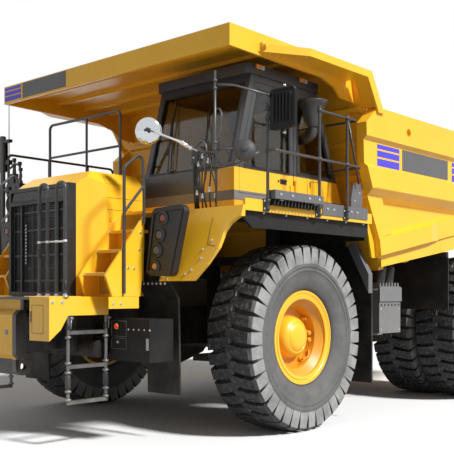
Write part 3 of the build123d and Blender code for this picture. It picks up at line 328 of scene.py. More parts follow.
lug_rubber = rubber.copy()
lug_rubber.name = "lug_rubber"
for node in lug_rubber.node_tree.nodes:
    if node.bl_idname == "ShaderNodeMix":
        # on the lugs, the faces that look sideways are paler than on the wall, and the tread and the
        # faces between the lugs are darker
        node.inputs[6].default_value = (0.014, 0.014, 0.015, 1)
        node.inputs[7].default_value = (0.40, 0.398, 0.39, 1)

wheelbase = 4.3
front_wheel_y = 1.7575                    # middle of a front tyre, from the truck's middle
twin_ys = (1.17, 1.91)                    # middles of the two rear tyres of one side
tyre_r = 1.06
lug_count = 38
wall_facets = 152
mould_edge = 0.007                        # how far the lugs' edges are rounded by the mould
wall_line = [  # radius, distance from the tyre's middle, going out from the bead on one side
    (0.508, 0.170), (0.533, 0.224), (0.548, 0.243), (0.575, 0.262), (0.600, 0.272), (0.640, 0.291),
    (0.700, 0.306), (0.752, 0.3120), (0.756, 0.3175), (0.768, 0.3175), (0.772, 0.3125), (0.796, 0.3130),
    (0.800, 0.3190), (0.814, 0.3190), (0.830, 0.3150), (0.900, 0.3080), (0.960, 0.2860), (0.992, 0.2500),
    (0.998, 0.150), (1.000, 0.0),
]
lug_line = [  # radius, distance, foot radius, foot distance, middle and half width in lug pitches
    (0.842, 0.3170, 0.835, 0.300, 0.00, 0.475), (0.930, 0.3200, 0.900, 0.290, 0.00, 0.440),
    (1.022, 0.3160, 0.960, 0.270, 0.01, 0.385), (1.050, 0.2820, 0.980, 0.240, 0.03, 0.365),
    (1.060, 0.1600, 0.985, 0.150, 0.12, 0.350), (1.060, 0.0600, 0.985, 0.060, 0.26, 0.320),
    (1.060, -0.0250, 0.985, -0.020, 0.40, 0.240),
]
foot_flare = 0.035                        # in lug pitches; a lug is that much wider at its foot
worn_r, worn_side, worn_turn = 0.007, 0.004, 0.028


def tyre(bm, middle_y, out, turn, wear):
    """One tyre about the axle through the origin of X and Z, its outer face towards out.
    Each lug's corners are worn a little differently."""
    line = [(r, v) for r, v in wall_line] + [(r, -v) for r, v in reversed(wall_line[:-1])]
    rows = []
    for i in range(wall_facets):
        a = 2 * math.pi * i / wall_facets
        rows.append([bm.verts.new((r * math.cos(a), middle_y + out * v, r * math.sin(a)))
                     for r, v in line])
    for i in range(wall_facets):
        here = rows[i]
        there = rows[(i + 1) % wall_facets]
        for j in range(len(line) - 1):
            bm.faces.new((here[j], here[j + 1], there[j + 1], there[j])).smooth = True
    pitch = 2 * math.pi / lug_count
    for side in (1, -1):
        for k in range(lug_count):
            start = (k + (0.5 if side < 0 else 0.0)) * pitch + turn
            before = None
            for r, v, foot_r, foot_v, mid, half in lug_line:
                foot_half = half + foot_flare
                corner = []
                for rad, dist, edge in ((r, v, -half), (r, v, half), (foot_r, foot_v, foot_half),
                                        (foot_r, foot_v, -half - foot_flare)):
                    rad -= wear.uniform(0.0, worn_r)
                    dist -= wear.uniform(0.0, worn_side)
                    a = start + out * (mid + edge + wear.uniform(-worn_turn, worn_turn)) * pitch
                    corner.append(bm.verts.new((rad * math.cos(a), middle_y + out * side * dist,
                                                rad * math.sin(a))))
                if before is None:
                    bm.faces.new(corner).material_index = 1
                else:
                    for m in range(4):
                        n = (m + 1) % 4
                        bm.faces.new((before[m], before[n], corner[n], corner[m])).material_index = 1
                before = corner
            bm.faces.new(before[::-1]).material_index = 1


def build_tyres(name, body, axle_x, middles, out, turn, *replaced):
    """The tyres of one wheel body, in place of their CAD node."""
    bm = bmesh.new()
    wear = random.Random(len(name) + int(turn * 1000))
    for middle in middles:
        tyre(bm, middle, out, turn, wear)
    bmesh.ops.recalc_face_normals(bm, faces=bm.faces)
    mesh = bpy.data.meshes.new(name)
    bm.to_mesh(mesh)
    bm.free()
    mesh.transform(Matrix.Translation((axle_x, 0, tyre_r)))
    made = new_piece(name, body, mesh, rubber, lug_rubber)
    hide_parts(*replaced)
    moulded = made.modifiers.new("moulded_edges", "BEVEL")
    moulded.width = mould_edge
    moulded.segments = 1
    moulded.limit_method = "ANGLE"
    moulded.angle_limit = math.radians(40)


for side, word in ((1, "left"), (-1, "right")):
    build_tyres("lugged_tyre_front_" + word, "wheel_front_" + word, front_axle_x, [side * front_wheel_y],
                side, 0.03, "tyre_front_" + word)
    build_tyres("lugged_tyres_rear_" + word, "wheels_rear_" + word, front_axle_x - wheelbase,
                [side * y for y in twin_ys], side, 0.07, "tyres_rear_" + word)


# ==== Rims and hubs ====
# Welded steel rims in yellow enamel with a dished disc. The hub covers, nuts, fill plugs and valves
# are turned steel, painted over with the rim.
def ring_axes(axis):
    """Two directions square to an axis and to each other, and the axis itself at length 1."""
    w = Vector(axis).normalized()
    u = w.cross(Vector((0, 0, 1)) if abs(w.z) < 0.9 else Vector((1, 0, 0))).normalized()
    return u, w.cross(u), w


def turned(bm, origin, axis, profile, count=24, smooth=True):
    """Turned shape; the profile is (distance along the axis, radius) from one end to the other."""
    u, v, w = ring_axes(axis)
    rows = []
    for d, r in profile:
        row = []
        for k in range(count):
            a = 2 * math.pi * k / count
            row.append(bm.verts.new(Vector(origin) + w * d + (u * math.cos(a) + v * math.sin(a)) * r))
        rows.append(row)
    for a, b in zip(rows, rows[1:]):
        for k in range(count):
            n = (k + 1) % count
            bm.faces.new((a[k], a[n], b[n], b[k])).smooth = smooth
    bm.faces.new(rows[0][::-1])
    bm.faces.new(rows[-1])


def collar(bm, origin, axis, r, length, count=16):
    """Straight collar, disc or stud."""
    turned(bm, origin, axis, [(0, r), (length, r)], count)


def rounded(path, radius, steps=5):
    """The path with its corners drawn round."""
    path = [Vector(p) for p in path]
    made = [path[0]]
    for a, b, c in zip(path, path[1:], path[2:]):
        reach = min(radius, (b - a).length * 0.49, (c - b).length * 0.49)
        start = b + (a - b).normalized() * reach
        end = b + (c - b).normalized() * reach
        for k in range(steps + 1):
            t = k / steps
            made.append(start * (1 - t) ** 2 + b * (2 * t * (1 - t)) + end * t * t)
    made.append(path[-1])
    return made


def tube(bm, path, r, count=14, radius=0.05, tip=None):
    """Round bar or hose along a path with bent corners; tip is its radius at the far end."""
    path = rounded(path, radius)
    tip = r if tip is None else tip
    u, v, w = ring_axes(path[1] - path[0])
    rows = []
    for i, p in enumerate(path):
        into = (path[i] - path[i - 1]).normalized() if i else (path[1] - path[0]).normalized()
        away = (path[i + 1] - path[i]).normalized() if i < len(path) - 1 else into
        turn = w.rotation_difference((into + away).normalized())
        u, v, w = turn @ u, turn @ v, turn @ w
        here = r + (tip - r) * i / (len(path) - 1)
        row = []
        for k in range(count):
            a = 2 * math.pi * k / count
            row.append(bm.verts.new(p + (u * math.cos(a) + v * math.sin(a)) * here))
        rows.append(row)
    for a, b in zip(rows, rows[1:]):
        for k in range(count):
            n = (k + 1) % count
            bm.faces.new((a[k], a[n], b[n], b[k])).smooth = True
    bm.faces.new(rows[0][::-1])
    bm.faces.new(rows[-1])


def nut(bm, place, out, r=0.012):
    """Washer and six-sided head."""
    turned(bm, place, out, [(-0.002, r * 1.5), (0.003, r * 1.5), (0.004, r * 1.4)], 16)
    turned(bm, place, out, [(0.003, r), (0.003 + r * 0.7, r), (0.003 + r * 0.95, r * 0.8)], 6, False)


def piece(name, body, bm, *materials, edges=0.0, slot=None, steps=2):
    """Makes a worked mesh, measured from the front axle, into a piece that rides on a body."""
    bmesh.ops.recalc_face_normals(bm, faces=bm.faces)
    mesh = bpy.data.meshes.new(name)
    bm.to_mesh(mesh)
    bm.free()
    mesh.transform(Matrix.Translation((front_axle_x, 0, 0)))
    made = new_piece(name, body, mesh, *materials)
    if edges:
        softened = made.modifiers.new("softened_edges", "BEVEL")
        softened.width = edges
        softened.segments = steps
        softened.limit_method = "ANGLE"
        softened.angle_limit = math.radians(35)
        softened.harden_normals = False
    return made


def rim_paint_and_dish_shade(tree):
    """The disc inside the dish is painted a darker orange than the flange: painted shade for the shadow
    that falls in the dish.
    """
    place = put(tree, "TexCoord", out=3)
    x = put(tree, "SeparateXYZ", out=0, in0=place)
    z = put(tree, "SeparateXYZ", out=2, in0=place)
    rise = put(tree, "Math", operation="SUBTRACT", in0=z, in1=tyre_r)
    reach = None
    for axle_x in (front_axle_x, front_axle_x - wheelbase):
        run = put(tree, "Math", operation="SUBTRACT", in0=x, in1=axle_x)
        flat = put(tree, "CombineXYZ", in0=run, in1=rise, in2=0.0)
        far = put(tree, "VectorMath", operation="LENGTH", out=1, in0=flat)
        reach = far if reach is None else put(tree, "Math", operation="MINIMUM", in0=reach, in1=far)
    # painted shade: darker orange on the disc inside the dish, between the flange and the hub cover
    inner = put(tree, "MapRange", in0=reach, in1=0.455, in2=0.425)
    hub = put(tree, "MapRange", in0=reach, in1=0.242, in2=0.250)
    inner = put(tree, "Math", operation="MULTIPLY", in0=inner, in1=hub)
    return blend(tree, inner, (*yellow, 1), (0.72, 0.30, 0.009, 1))


rim_enamel = sprayed("rim_enamel", yellow, rough=0.40, dust=0.10, coat=0.12, rub=0.15,
                     paint_tree=rim_paint_and_dish_shade)
paint(rim_enamel, "rim_front_left", "rim_front_right", "rims_rear_left", "rims_rear_right")
hub_seat_y = 1.776                        # face of the hub, from the truck's middle
disc_y = 1.7775                           # face of the disc round it
lock_ring_y = 1.9905
lock_ring_r = 0.523
cover_profile = [  # distance out from the hub, radius
    (0, 0.240), (0.040, 0.236), (0.085, 0.222), (0.112, 0.202), (0.128, 0.180), (0.131, 0.173),
    (0.126, 0.169), (0.132, 0.163), (0.147, 0.146), (0.160, 0.110), (0.167, 0.065), (0.169, 0.012),
]
plug_profile = [(0, 0.036), (0.05, 0.036), (0.055, 0.030), (0.085, 0.030), (0.092, 0.022)]
for side, word in ((1, "left"), (-1, "right")):
    fittings = bmesh.new()
    out = (0, side, 0)
    # round hub cover with a crowned cap let into it
    turned(fittings, (0, side * hub_seat_y, tyre_r), out, cover_profile, 64)
    # two fill plugs, rearward, and the tyre valve near the lip
    for dz in (0.035, -0.045):
        turned(fittings, (-0.292, side * disc_y, tyre_r + dz), out, plug_profile, 20)
    turned(fittings, (-0.26, side * disc_y, tyre_r + 0.21), out,
           [(0, 0.034), (0.03, 0.034), (0.034, 0.024), (0.06, 0.024)], 18)
    # drain valve with its elbow and lever low in the dish
    drain_x, drain_z = -0.20, tyre_r - 0.265
    turned(fittings, (drain_x, side * disc_y, drain_z), out,
           [(0, 0.030), (0.03, 0.030), (0.034, 0.018), (0.08, 0.018)], 16)
    tube(fittings, [(drain_x, side * 1.85, drain_z), (-0.26, side * 1.87, tyre_r - 0.235),
                    (-0.30, side * 1.84, tyre_r - 0.16)], 0.011, 10, 0.03)
    tube(fittings, [(drain_x, side * 1.86, drain_z), (-0.12, side * 1.865, tyre_r - 0.29)], 0.007, 8)
    # studs round the lock ring
    for k in range(8):
        a = 2 * math.pi * (k + 0.3) / 8
        spot = (lock_ring_r * math.cos(a), side * lock_ring_y, tyre_r + lock_ring_r * math.sin(a))
        turned(fittings, spot, out, [(0, 0.006), (0.004, 0.005)], 10)
    piece("rim_fittings_front_" + word, "wheel_front_" + word, fittings, rim_enamel, edges=0.0015,
          slot="yellow_paint")


# ==== Cab paint and the door's trim ====
# Cab pressed from steel sheet: yellow to the sill with a grey band round its foot, dark grey above.
# The door hangs at its rear edge; seams, seals, a recessed handle and amber side lamps finish it.
band_low_z, band_high_z = 2.560, 2.668
sill_z = 2.914


def cab_coat(tree):
    """Yellow to the sill, a grey band at the foot, dark grey above and on the front beside the hood."""
    x, y, z = (put(tree, "SeparateXYZ", out=k, in0=put(tree, "TexCoord", out=3)) for k in range(3))

    def past(value, edge):
        return put(tree, "MapRange", in0=value, in1=edge - 0.001, in2=edge + 0.001)

    def less(value, edge):
        return put(tree, "MapRange", in0=value, in1=edge - 0.001, in2=edge + 0.001, in3=1.0, in4=0.0)

    def both(a, b):
        return put(tree, "Math", operation="MULTIPLY", in0=a, in1=b)

    band = both(past(z, band_low_z), less(z, band_high_z))
    dark = past(z, sill_z)
    front = both(both(past(x, front_axle_x + 0.962), less(y, 1.215)), past(z, band_high_z))
    dark = put(tree, "Math", operation="MAXIMUM", in0=dark, in1=front)
    colour = blend(tree, band, (*yellow, 1), (0.165, 0.167, 0.172, 1))
    return blend(tree, dark, colour, (0.044, 0.046, 0.050, 1))


cab_enamel = sprayed("cab_enamel", yellow, rough=0.36, dust=0.2, coat=0.2, paint_tree=cab_coat)
paint(cab_enamel, "cab_base", "cab_shell", "cab_door")
roof_grey = sprayed("roof_grey", (0.022, 0.0225, 0.024), rough=0.4, dust=0.2, coat=0.1)
paint(roof_grey, "cab_roof")
black_trim = sprayed("black_trim", (0.010, 0.010, 0.011), rough=0.42, dust=0.25, rub=0.05, peel=0.4)
clamp_steel = sprayed("clamp_steel", (0.20, 0.205, 0.21), rough=0.38, dust=0.4, metallic=0.6)
zinc = sprayed("zinc_plate", (0.55, 0.55, 0.56), rough=0.32, dust=0.25, metallic=0.85, rub=0.0)


def prism(bm, corners, thick):
    """Flat outline given by its corners in order, with a thickness vector."""
    near = [bm.verts.new(Vector(c)) for c in corners]
    far = [bm.verts.new(Vector(c) + Vector(thick)) for c in corners]
    bm.faces.new(near[::-1])
    bm.faces.new(far)
    for k in range(len(near)):
        n = (k + 1) % len(near)
        bm.faces.new((near[k], near[n], far[n], far[k]))


def bar(bm, low, high):
    """Square-cut bar between two corners."""
    (x0, y0, z0), (x1, y1, z1) = low, high
    prism(bm, [(x0, y0, z0), (x1, y0, z0), (x1, y1, z0), (x0, y1, z0)], (0, 0, z1 - z0))


def facing_left(y, outline):
    """Corners of an outline of (x, z) pairs that stands lengthwise at y."""
    return [(x, y, z) for x, z in outline]


def facing_ahead(x, outline):
    """Corners of an outline of (y, z) pairs that stands crosswise at x."""
    return [(x, y, z) for y, z in outline]


def square_cut(low, high):
    """The four pairs round a rectangle, from its low corner."""
    return [low, (high[0], low[1]), high, (low[0], high[1])]


def frame_strip(bm, corners, width, thick):
    """Strip laid inside a closed outline, like a window seal."""
    middle = sum((Vector(c) for c in corners), Vector()) / len(corners)
    inner = []
    for c in corners:
        inward = middle - Vector(c)
        inner.append(Vector(c) + inward.normalized() * width * 1.35)
    for k in range(len(corners)):
        n = (k + 1) % len(corners)
        prism(bm, [corners[k], corners[n], inner[n], inner[k]], thick)


def screen_x(z, back=0.0):
    """The leaning windscreen face at a height."""
    return 0.980 - 0.28 / 1.05 * max(z - 2.9, 0) - back


# window seals round the door glass and quarter light
cab_side_y = 1.8
to_left = (0, 1, 0)
seals = bmesh.new()
door_light = [(screen_x(2.915, 0.150), 2.915), (screen_x(3.805, 0.150), 3.805),
              (0.015, 3.805), (0.015, 2.915)]
frame_strip(seals, facing_left(cab_side_y, door_light), 0.022, (0, 0.006, 0))
bar(seals, (-0.066, cab_side_y, 2.66), (-0.058, 1.8015, 3.9))
piece("door_seals", "door", seals, black_trim, edges=0.002, slot="trim_plastic")
seals = bmesh.new()
quarter_light = [(-0.12, 2.94), (-0.12, 3.85), (-0.49, 3.85), (-0.85, 2.94)]
frame_strip(seals, facing_left(cab_side_y, quarter_light), 0.024, (0, 0.006, 0))
screen_low_x, screen_high_x = screen_x(2.93) + 0.001, screen_x(3.87) + 0.001
frame_strip(seals, [(screen_low_x, 0.47, 2.93), (screen_high_x, 0.47, 3.87),
                    (screen_high_x, 1.73, 3.87), (screen_low_x, 1.73, 2.93)], 0.020, (0.006, 0, 0))
# panel seams behind the door, and the small vent holes of the cover
for x in (-0.113, -0.334):
    bar(seals, (x, cab_side_y, 2.565), (x + 0.006, 1.801, 2.905))
bar(seals, (-0.62, cab_side_y, 2.883), (-0.40, 1.801, 2.889))
for k in range(12):
    collar(seals, (-0.648, cab_side_y, 2.685 + k * 0.017), to_left, 0.005, 0.001, 8)
for k in range(5):
    collar(seals, (-0.60 + k * 0.045, cab_side_y, 2.87), to_left, 0.004, 0.001, 8)
piece("cab_seals", "chassis", seals, black_trim, edges=0.001, slot="trim_plastic")

# recessed handle: a dark well with a pull bar across, and the lock beside it
pull = bmesh.new()
prism(pull, facing_left(cab_side_y, square_cut((0.07, 2.80), (0.19, 2.86))), (0, 0.002, 0))
tube(pull, [(0.16, 1.801, 2.84), (0.16, 1.825, 2.84), (0.09, 1.825, 2.84), (0.09, 1.801, 2.84)],
     0.006, 10, 0.01)
turned(pull, (0.22, cab_side_y, 2.83), to_left, [(0, 0.014), (0.006, 0.014), (0.008, 0.010)], 16)
piece("door_pull", "door", pull, black_trim, edges=0.001, slot="trim_plastic")
latch = bmesh.new()
prism(latch, facing_left(cab_side_y, square_cut((-0.394, 2.812), (-0.374, 2.882))), (0, 0.003, 0))
piece("cover_latch", "chassis", latch, black_trim, edges=0.002)


def lens(name, colour, ribs=60.0, rough=0.12):
    """Moulded lamp lens with fine ribs."""
    mat = bpy.data.materials.new(name)
    mat.use_nodes = True
    tree = mat.node_tree
    skin = tree.nodes["Principled BSDF"]
    skin.inputs["Coat Weight"].default_value = 0.6
    place = put(tree, "TexCoord", out=3)
    film = put(tree, "TexNoise", Vector=place, Scale=18.0, Detail=4.0)
    film = put(tree, "MapRange", in0=film, in1=0.35, in2=0.75)
    dulled = [c * 0.72 for c in colour]
    tree.links.new(blend(tree, film, (*colour, 1), (*dulled, 1)), skin.inputs["Base Color"])
    tree.links.new(put(tree, "MapRange", in0=film, in3=rough, in4=rough + 0.15), skin.inputs["Roughness"])
    wave = put(tree, "TexWave", Vector=place, Scale=ribs, bands_direction="Z")
    tree.links.new(put(tree, "Bump", Strength=0.3, Distance=0.002, Height=wave), skin.inputs["Normal"])
    return mat


amber_lens = lens("amber_lens", (0.80, 0.30, 0.012))
clear_lens = lens("clear_lens", (0.62, 0.64, 0.66))
lamp_glass = lens("lamp_glass", (0.060, 0.063, 0.068), rough=0.05)
red_lens = lens("red_lens", (0.28, 0.012, 0.008))
roof_side_y = 1.83
lamp_low_z, lamp_high_z = 4.012, 4.060
for k, x in enumerate((0.62, -0.17)):
    for word, back, ahead, depth, glass in (("amber", 0.055, 0.045, 0.026, amber_lens),
                                            ("clear", 0.095, -0.057, 0.024, clear_lens)):
        side_lamp = bmesh.new()
        outline = square_cut((x - back, lamp_low_z), (x + ahead, lamp_high_z))
        prism(side_lamp, facing_left(roof_side_y, outline), (0, depth, 0))
        piece("%s_side_lamp_%d" % (word, k + 1), "chassis", side_lamp, glass, edges=0.006)

# ==== Seats behind the glass ====
# Two padded seats, the driver's larger than the second: brown cloth sewn over foam and clipped to the
# seat frames behind the tinted glass.
cloth = bpy.data.materials.new("seat_cloth")
cloth.use_nodes = True
tree = cloth.node_tree
skin = tree.nodes["Principled BSDF"]
place = put(tree, "TexCoord", out=3)
weave = put(tree, "TexVoronoi", Vector=place, Scale=260.0)
fade = put(tree, "TexNoise", Vector=place, Scale=7.0, Detail=4.0)
tree.links.new(blend(tree, fade, (0.36, 0.25, 0.11, 1), (0.50, 0.37, 0.18, 1)), skin.inputs["Base Color"])
tree.links.new(put(tree, "MapRange", in0=fade, in3=0.7, in4=0.95), skin.inputs["Roughness"])
tree.links.new(put(tree, "Bump", Strength=0.4, Distance=0.001, Height=weave), skin.inputs["Normal"])
seat_backs = (  # right edge, left edge, foot and head of the cushion, and X of its foot
    (1.10, 1.56, 2.93, 3.66, -0.20), (0.56, 0.90, 2.88, 3.25, -0.42),
)
seats = bmesh.new()
for y0, y1, z0, z1, x0 in seat_backs:
    # back cushion, crowned across and leaning to the rear
    rise = z1 - z0
    mid = (y0 + y1) / 2
    rows = []
    for k in range(9):
        t = k / 8
        bulge = 0.05 * math.sin(math.pi * t) + 0.03
        width = 0.5 - 0.06 * t - 0.05 * (1 if k in (0, 8) else 0)
        half = (y1 - y0) * width
        x = x0 - 0.13 * t
        z = z0 + rise * t
        rim = [(-0.05, -half), (bulge * 0.6, -half * 0.96), (bulge, -half * 0.5),
               (bulge, half * 0.5), (bulge * 0.6, half * 0.96), (-0.05, half)]
        rows.append([seats.verts.new((x + out, mid + across, z)) for out, across in rim])
    for a, b in zip(rows, rows[1:]):
        for k in range(6):
            n = (k + 1) % 6
            seats.faces.new((a[k], a[n], b[n], b[k])).smooth = True
    seats.faces.new(rows[0][::-1])
    seats.faces.new(rows[-1])
# the driver's seat cushion
seat_side = [(-0.29, 2.90), (0.23, 2.90), (0.25, 2.95), (0.21, 3.0), (-0.26, 2.97)]
prism(seats, facing_left(1.08, seat_side), (0, 0.5, 0))
seat_covers = piece("seat_covers", "chassis", seats, cloth, edges=0.02, steps=3)

# ==== Hood, header and grille ====
# Pressed hood in yellow enamel over a black radiator guard. Welded wire screens fill the guard, the
# middle one on bolted strips; slanted louvres run across the header.
louvre_grey = sprayed("louvre_grey", (0.20, 0.202, 0.21), rough=0.35, dust=0.2)
louvres = bmesh.new()
for k in range(38):
    y = -0.505 + k * 0.0254
    blade = [(y, 2.589), (y + 0.011, 2.589), (y + 0.058, 2.691), (y + 0.047, 2.691)]
    prism(louvres, facing_ahead(2.163, blade), (0.026, 0, 0))
piece("header_louvres", "chassis", louvres, louvre_grey, slot="black_paint")
screen_half_y = 0.508
screen_low_z, screen_high_z = 1.585, 2.543
wire_pitch = 0.02
wire_black = sprayed("screen_wire", (0.050, 0.051, 0.054), rough=0.4, dust=0.3, rub=0.3,
                     rub_colour=(0.2, 0.2, 0.2))
wires = bmesh.new()
for k in range(51):
    y = -0.5 + k * wire_pitch
    bar(wires, (2.148, y - 0.002, screen_low_z), (2.152, y + 0.002, screen_high_z))
for k in range(48):
    z = 1.595 + k * wire_pitch
    bar(wires, (2.152, -screen_half_y, z - 0.002), (2.156, screen_half_y, z + 0.002))
piece("guard_wire", "chassis", wires, wire_black, slot="black_paint")
# flat stays across the screens and down their sides, and the bar at their foot
stay_paint = sprayed("stay_paint", (0.016, 0.0165, 0.018), rough=0.42, dust=0.4)
stays = bmesh.new()
for z in (1.70, 1.98, 2.26, 2.46):
    bar(stays, (2.157, -screen_half_y, z - 0.011), (2.166, screen_half_y, z + 0.011))
for y in (-screen_half_y, 0.478):
    bar(stays, (2.157, y, screen_low_z), (2.168, y + 0.030, screen_high_z))
bar(stays, (2.17, -0.50, 1.540), (2.203, 0.50, 1.572))
piece("guard_stays", "chassis", stays, stay_paint, edges=0.001, slot="black_paint")
# bolted hinge strips of the middle screen
to_front = (1, 0, 0)
strips = bmesh.new()
pins = bmesh.new()
for y in (-0.255, 0.137):
    bar(strips, (2.166, y - 0.010, 1.885), (2.172, y + 0.010, 2.335))
    for k in range(12):
        nut(pins, (2.172, y, 1.90 + k * 0.038), to_front, 0.008)
bright_pin = sprayed("bright_pin", (0.75, 0.75, 0.75), rough=0.3, dust=0.1, rub=0.0)
piece("screen_hinge_strips", "chassis", strips, wire_black, edges=0.001)
piece("screen_hinge_pins", "chassis", pins, bright_pin)

# seams of the hood's side panels and of its top panel
hood_side_y, hood_seam_y = 0.660, 0.6612
hood_top_z, hood_seam_z = 2.8895, 2.8908
seams = bmesh.new()
for side in (1, -1):
    for z in (2.60, 2.47):
        bar(seams, (1.26, side * hood_side_y, z), (1.76, side * hood_seam_y, z + 0.004))
    bar(seams, (1.50, side * hood_side_y, 2.475), (1.504, side * hood_seam_y, 2.6))
for x in (1.80, 1.33):
    bar(seams, (x, -0.52, hood_top_z), (x + 0.004, 0.52, hood_seam_z))
piece("hood_seams", "chassis", seams, black_trim)
hatches = bmesh.new()
for side in (1, -1):
    # shallow hatch on the chamfer between top and side
    low = Vector((1.62, side * 0.652, 2.752))
    high = Vector((1.62, side * 0.548, 2.865))
    along = Vector((0.155, 0, 0))
    up = high - low
    out = Vector((0, up.z, -side * up.y)).normalized() * 0.006
    if out.y * side < 0:
        out = -out
    prism(hatches, [low, low + along, high + along * 0.8, high + along * 0.05], out)
    # latch on the hood side
    bar(hatches, (1.70, side * 0.66, 2.35), (1.735, side * 0.672, 2.39))
piece("hood_hatches", "chassis", hatches, enamel, edges=0.003, slot="yellow_paint")

# ==== Front step platform, stairs and ladders ====
# Folded plate boxes in yellow enamel with bolted hatches. The stairs have grip treads bolted between
# their stringers; the boarding ladders hang in rubber sleeves on steel rods.
upward = (0, 0, 1)
box_front_x = 2.7
platform_z = 1.53
grab_x, grab_ys = 2.5, (0.46, 0.60, 0.75, 0.89)
treads = ((2.11, 1.775), (1.93, 2.02), (1.76, 2.235))          # nose and top of each tread
grip_button = [(0, 0.010), (0.005, 0.007)]
stringer_bolts = ((1.790, 1.821), (1.928, 1.721), (1.928, 1.566),
                  (1.873, 1.825), (1.72, 2.02), (1.70, 2.20))
seams = bmesh.new()
bolts = bmesh.new()
buttons = bmesh.new()
for side in (1, -1):
    # hatch seam as four thin dark lines, and the slot beside it
    hatch = square_cut((side * 0.612, 1.165), (side * 0.80, 1.445))
    for a, b in zip(hatch, hatch[1:] + hatch[:1]):
        low = [min(p, q) - 0.0025 for p, q in zip(a, b)]
        high = [max(p, q) + 0.0025 for p, q in zip(a, b)]
        bar(seams, (2.699, *low), (2.7012, *high))
    slot = square_cut((side * 0.583, 1.270), (side * 0.604, 1.384))
    prism(seams, facing_ahead(box_front_x, slot), (0.0012, 0, 0))
    nut(bolts, (2.687, side * 0.59, 1.225), to_front, 0.010)
    for x in (2.66, 2.545):
        nut(bolts, (x, side * 0.9, 1.475), (0, side, 0), 0.013)
    # feet of the grab rails
    for y in grab_ys:
        turned(bolts, (grab_x, side * y, platform_z), upward,
               [(0, 0.040), (0.008, 0.040), (0.010, 0.024), (0.03, 0.024)], 18)
    # bolts at the treads' ends, and the grip buttons on the treads and the platform
    for x, z in treads:
        for y in (0.712, 1.072):
            nut(bolts, (x, side * y, z - 0.015), to_front, 0.008)
        for i in range(5):
            for j in range(9):
                spot = (x - 0.03 - i * 0.034, side * (0.72 + j * 0.041), z)
                turned(buttons, spot, upward, grip_button, 8, False)
    for i in range(6):
        for j in range(14):
            spot = (2.30 + i * 0.062, side * (0.36 + j * 0.039), platform_z)
            turned(buttons, spot, upward, grip_button, 8, False)
    # bolts through the stringer and its foot plate
    for x, z in stringer_bolts:
        nut(bolts, (x, side * 1.12, z), (0, side, 0), 0.010)
    # screen of the riser above the platform
    for i in range(8):
        for j in range(4):
            y, z = side * (0.725 + j * 0.042), 1.56 + i * 0.023
            bar(seams, (1.912, y - 0.014, z), (1.914, y + 0.014, 1.574 + i * 0.023))
piece("platform_seams", "chassis", seams, black_trim, edges=0.0008)
piece("step_bolts", "chassis", bolts, zinc)
piece("grip_buttons", "chassis", buttons, enamel, slot="yellow_paint")

# foot plate that ties the stringer to the platform, and the riser panels
risers = bmesh.new()
for side in (1, -1):
    foot_plate = square_cut((1.72, 1.405), (2.13, 1.528))
    prism(risers, facing_left(side * 1.108, foot_plate), (0, side * 0.012, 0))
    right_y, left_y = sorted((side * 0.695, side * 1.09))
    for x, low_z, high_z in ((1.905, 1.53, 1.75), (1.735, 1.775, 1.99), (1.645, 2.02, 2.206)):
        bar(risers, (x, right_y, low_z), (x + 0.007, left_y, high_z))
piece("stair_risers", "chassis", risers, enamel, edges=0.002, slot="yellow_paint")
bolts = bmesh.new()
for side in (1, -1):
    for x in (1.97, 2.07):
        nut(bolts, (x, side * 1.120, 1.455), (0, side, 0), 0.011)
piece("foot_plate_bolts", "chassis", bolts, zinc)

# ladder sleeves, hanger links and clamps
ladder_y = 0.87
sleeves = bmesh.new()
clamps = bmesh.new()
for side in (1, -1):
    for x in (1.96, 2.45):
        for z0, z1, r in ((0.60, 0.74, 0.030), (1.20, 1.26, 0.027)):
            turned(sleeves, (x, side * ladder_y, z0), upward,
                   [(0, r * 0.85), (0.006, r), (z1 - z0 - 0.006, r), (z1 - z0, r * 0.85)], 18)
        for z in (0.49, 0.575, 0.765, 0.86, 1.12):
            collar(clamps, (x, side * ladder_y, z - 0.011), upward, 0.033, 0.022, 18)
            collar(clamps, (x, side * 0.84, z), (0, side, 0), 0.009, 0.062, 12)
        tube(clamps, [(x - 0.03, side * 0.885, 1.31), (x - 0.02, side * 0.885, 1.20)], 0.010, 10)
        turned(clamps, (x - 0.03, side * 0.885, 1.31), to_front, [(-0.02, 0.018), (0.02, 0.018)], 14)
piece("ladder_sleeves", "chassis", sleeves, black_trim, slot="black_paint")
piece("ladder_clamps", "chassis", clamps, clamp_steel)
# grip ribs on the rungs
ribs = bmesh.new()
for side in (1, -1):
    right_y, left_y = side * ladder_y - 0.018, side * ladder_y + 0.018
    for z in (0.46, 0.82, 1.165):
        for k in range(22):
            x = 1.99 + k * 0.02
            bar(ribs, (x, right_y, z + 0.018), (x + 0.008, left_y, z + 0.022))
piece("rung_ribs", "chassis", ribs, step_steel)

# grab rails: silver crossbar on collars, dark sleeves
crossbars = bmesh.new()
sleeves = bmesh.new()
for side in (1, -1):
    tube(crossbars, [(grab_x, side * 0.46, 2.09), (grab_x, side * 0.89, 2.085)], 0.010, 12)
    for y in grab_ys:
        collar(crossbars, (grab_x, side * y, 2.075), upward, 0.023, 0.025)
    for y, z in ((0.46, 2.38), (0.46, 1.93), (0.60, 1.60), (0.89, 1.60)):
        turned(sleeves, (grab_x, side * y, z), upward,
               [(0, 0.021), (0.004, 0.024), (0.086, 0.024), (0.09, 0.021)], 16)
piece("grab_rail_crossbars", "chassis", crossbars, zinc)
piece("grab_rail_sleeves", "chassis", sleeves, black_trim, slot="black_paint")

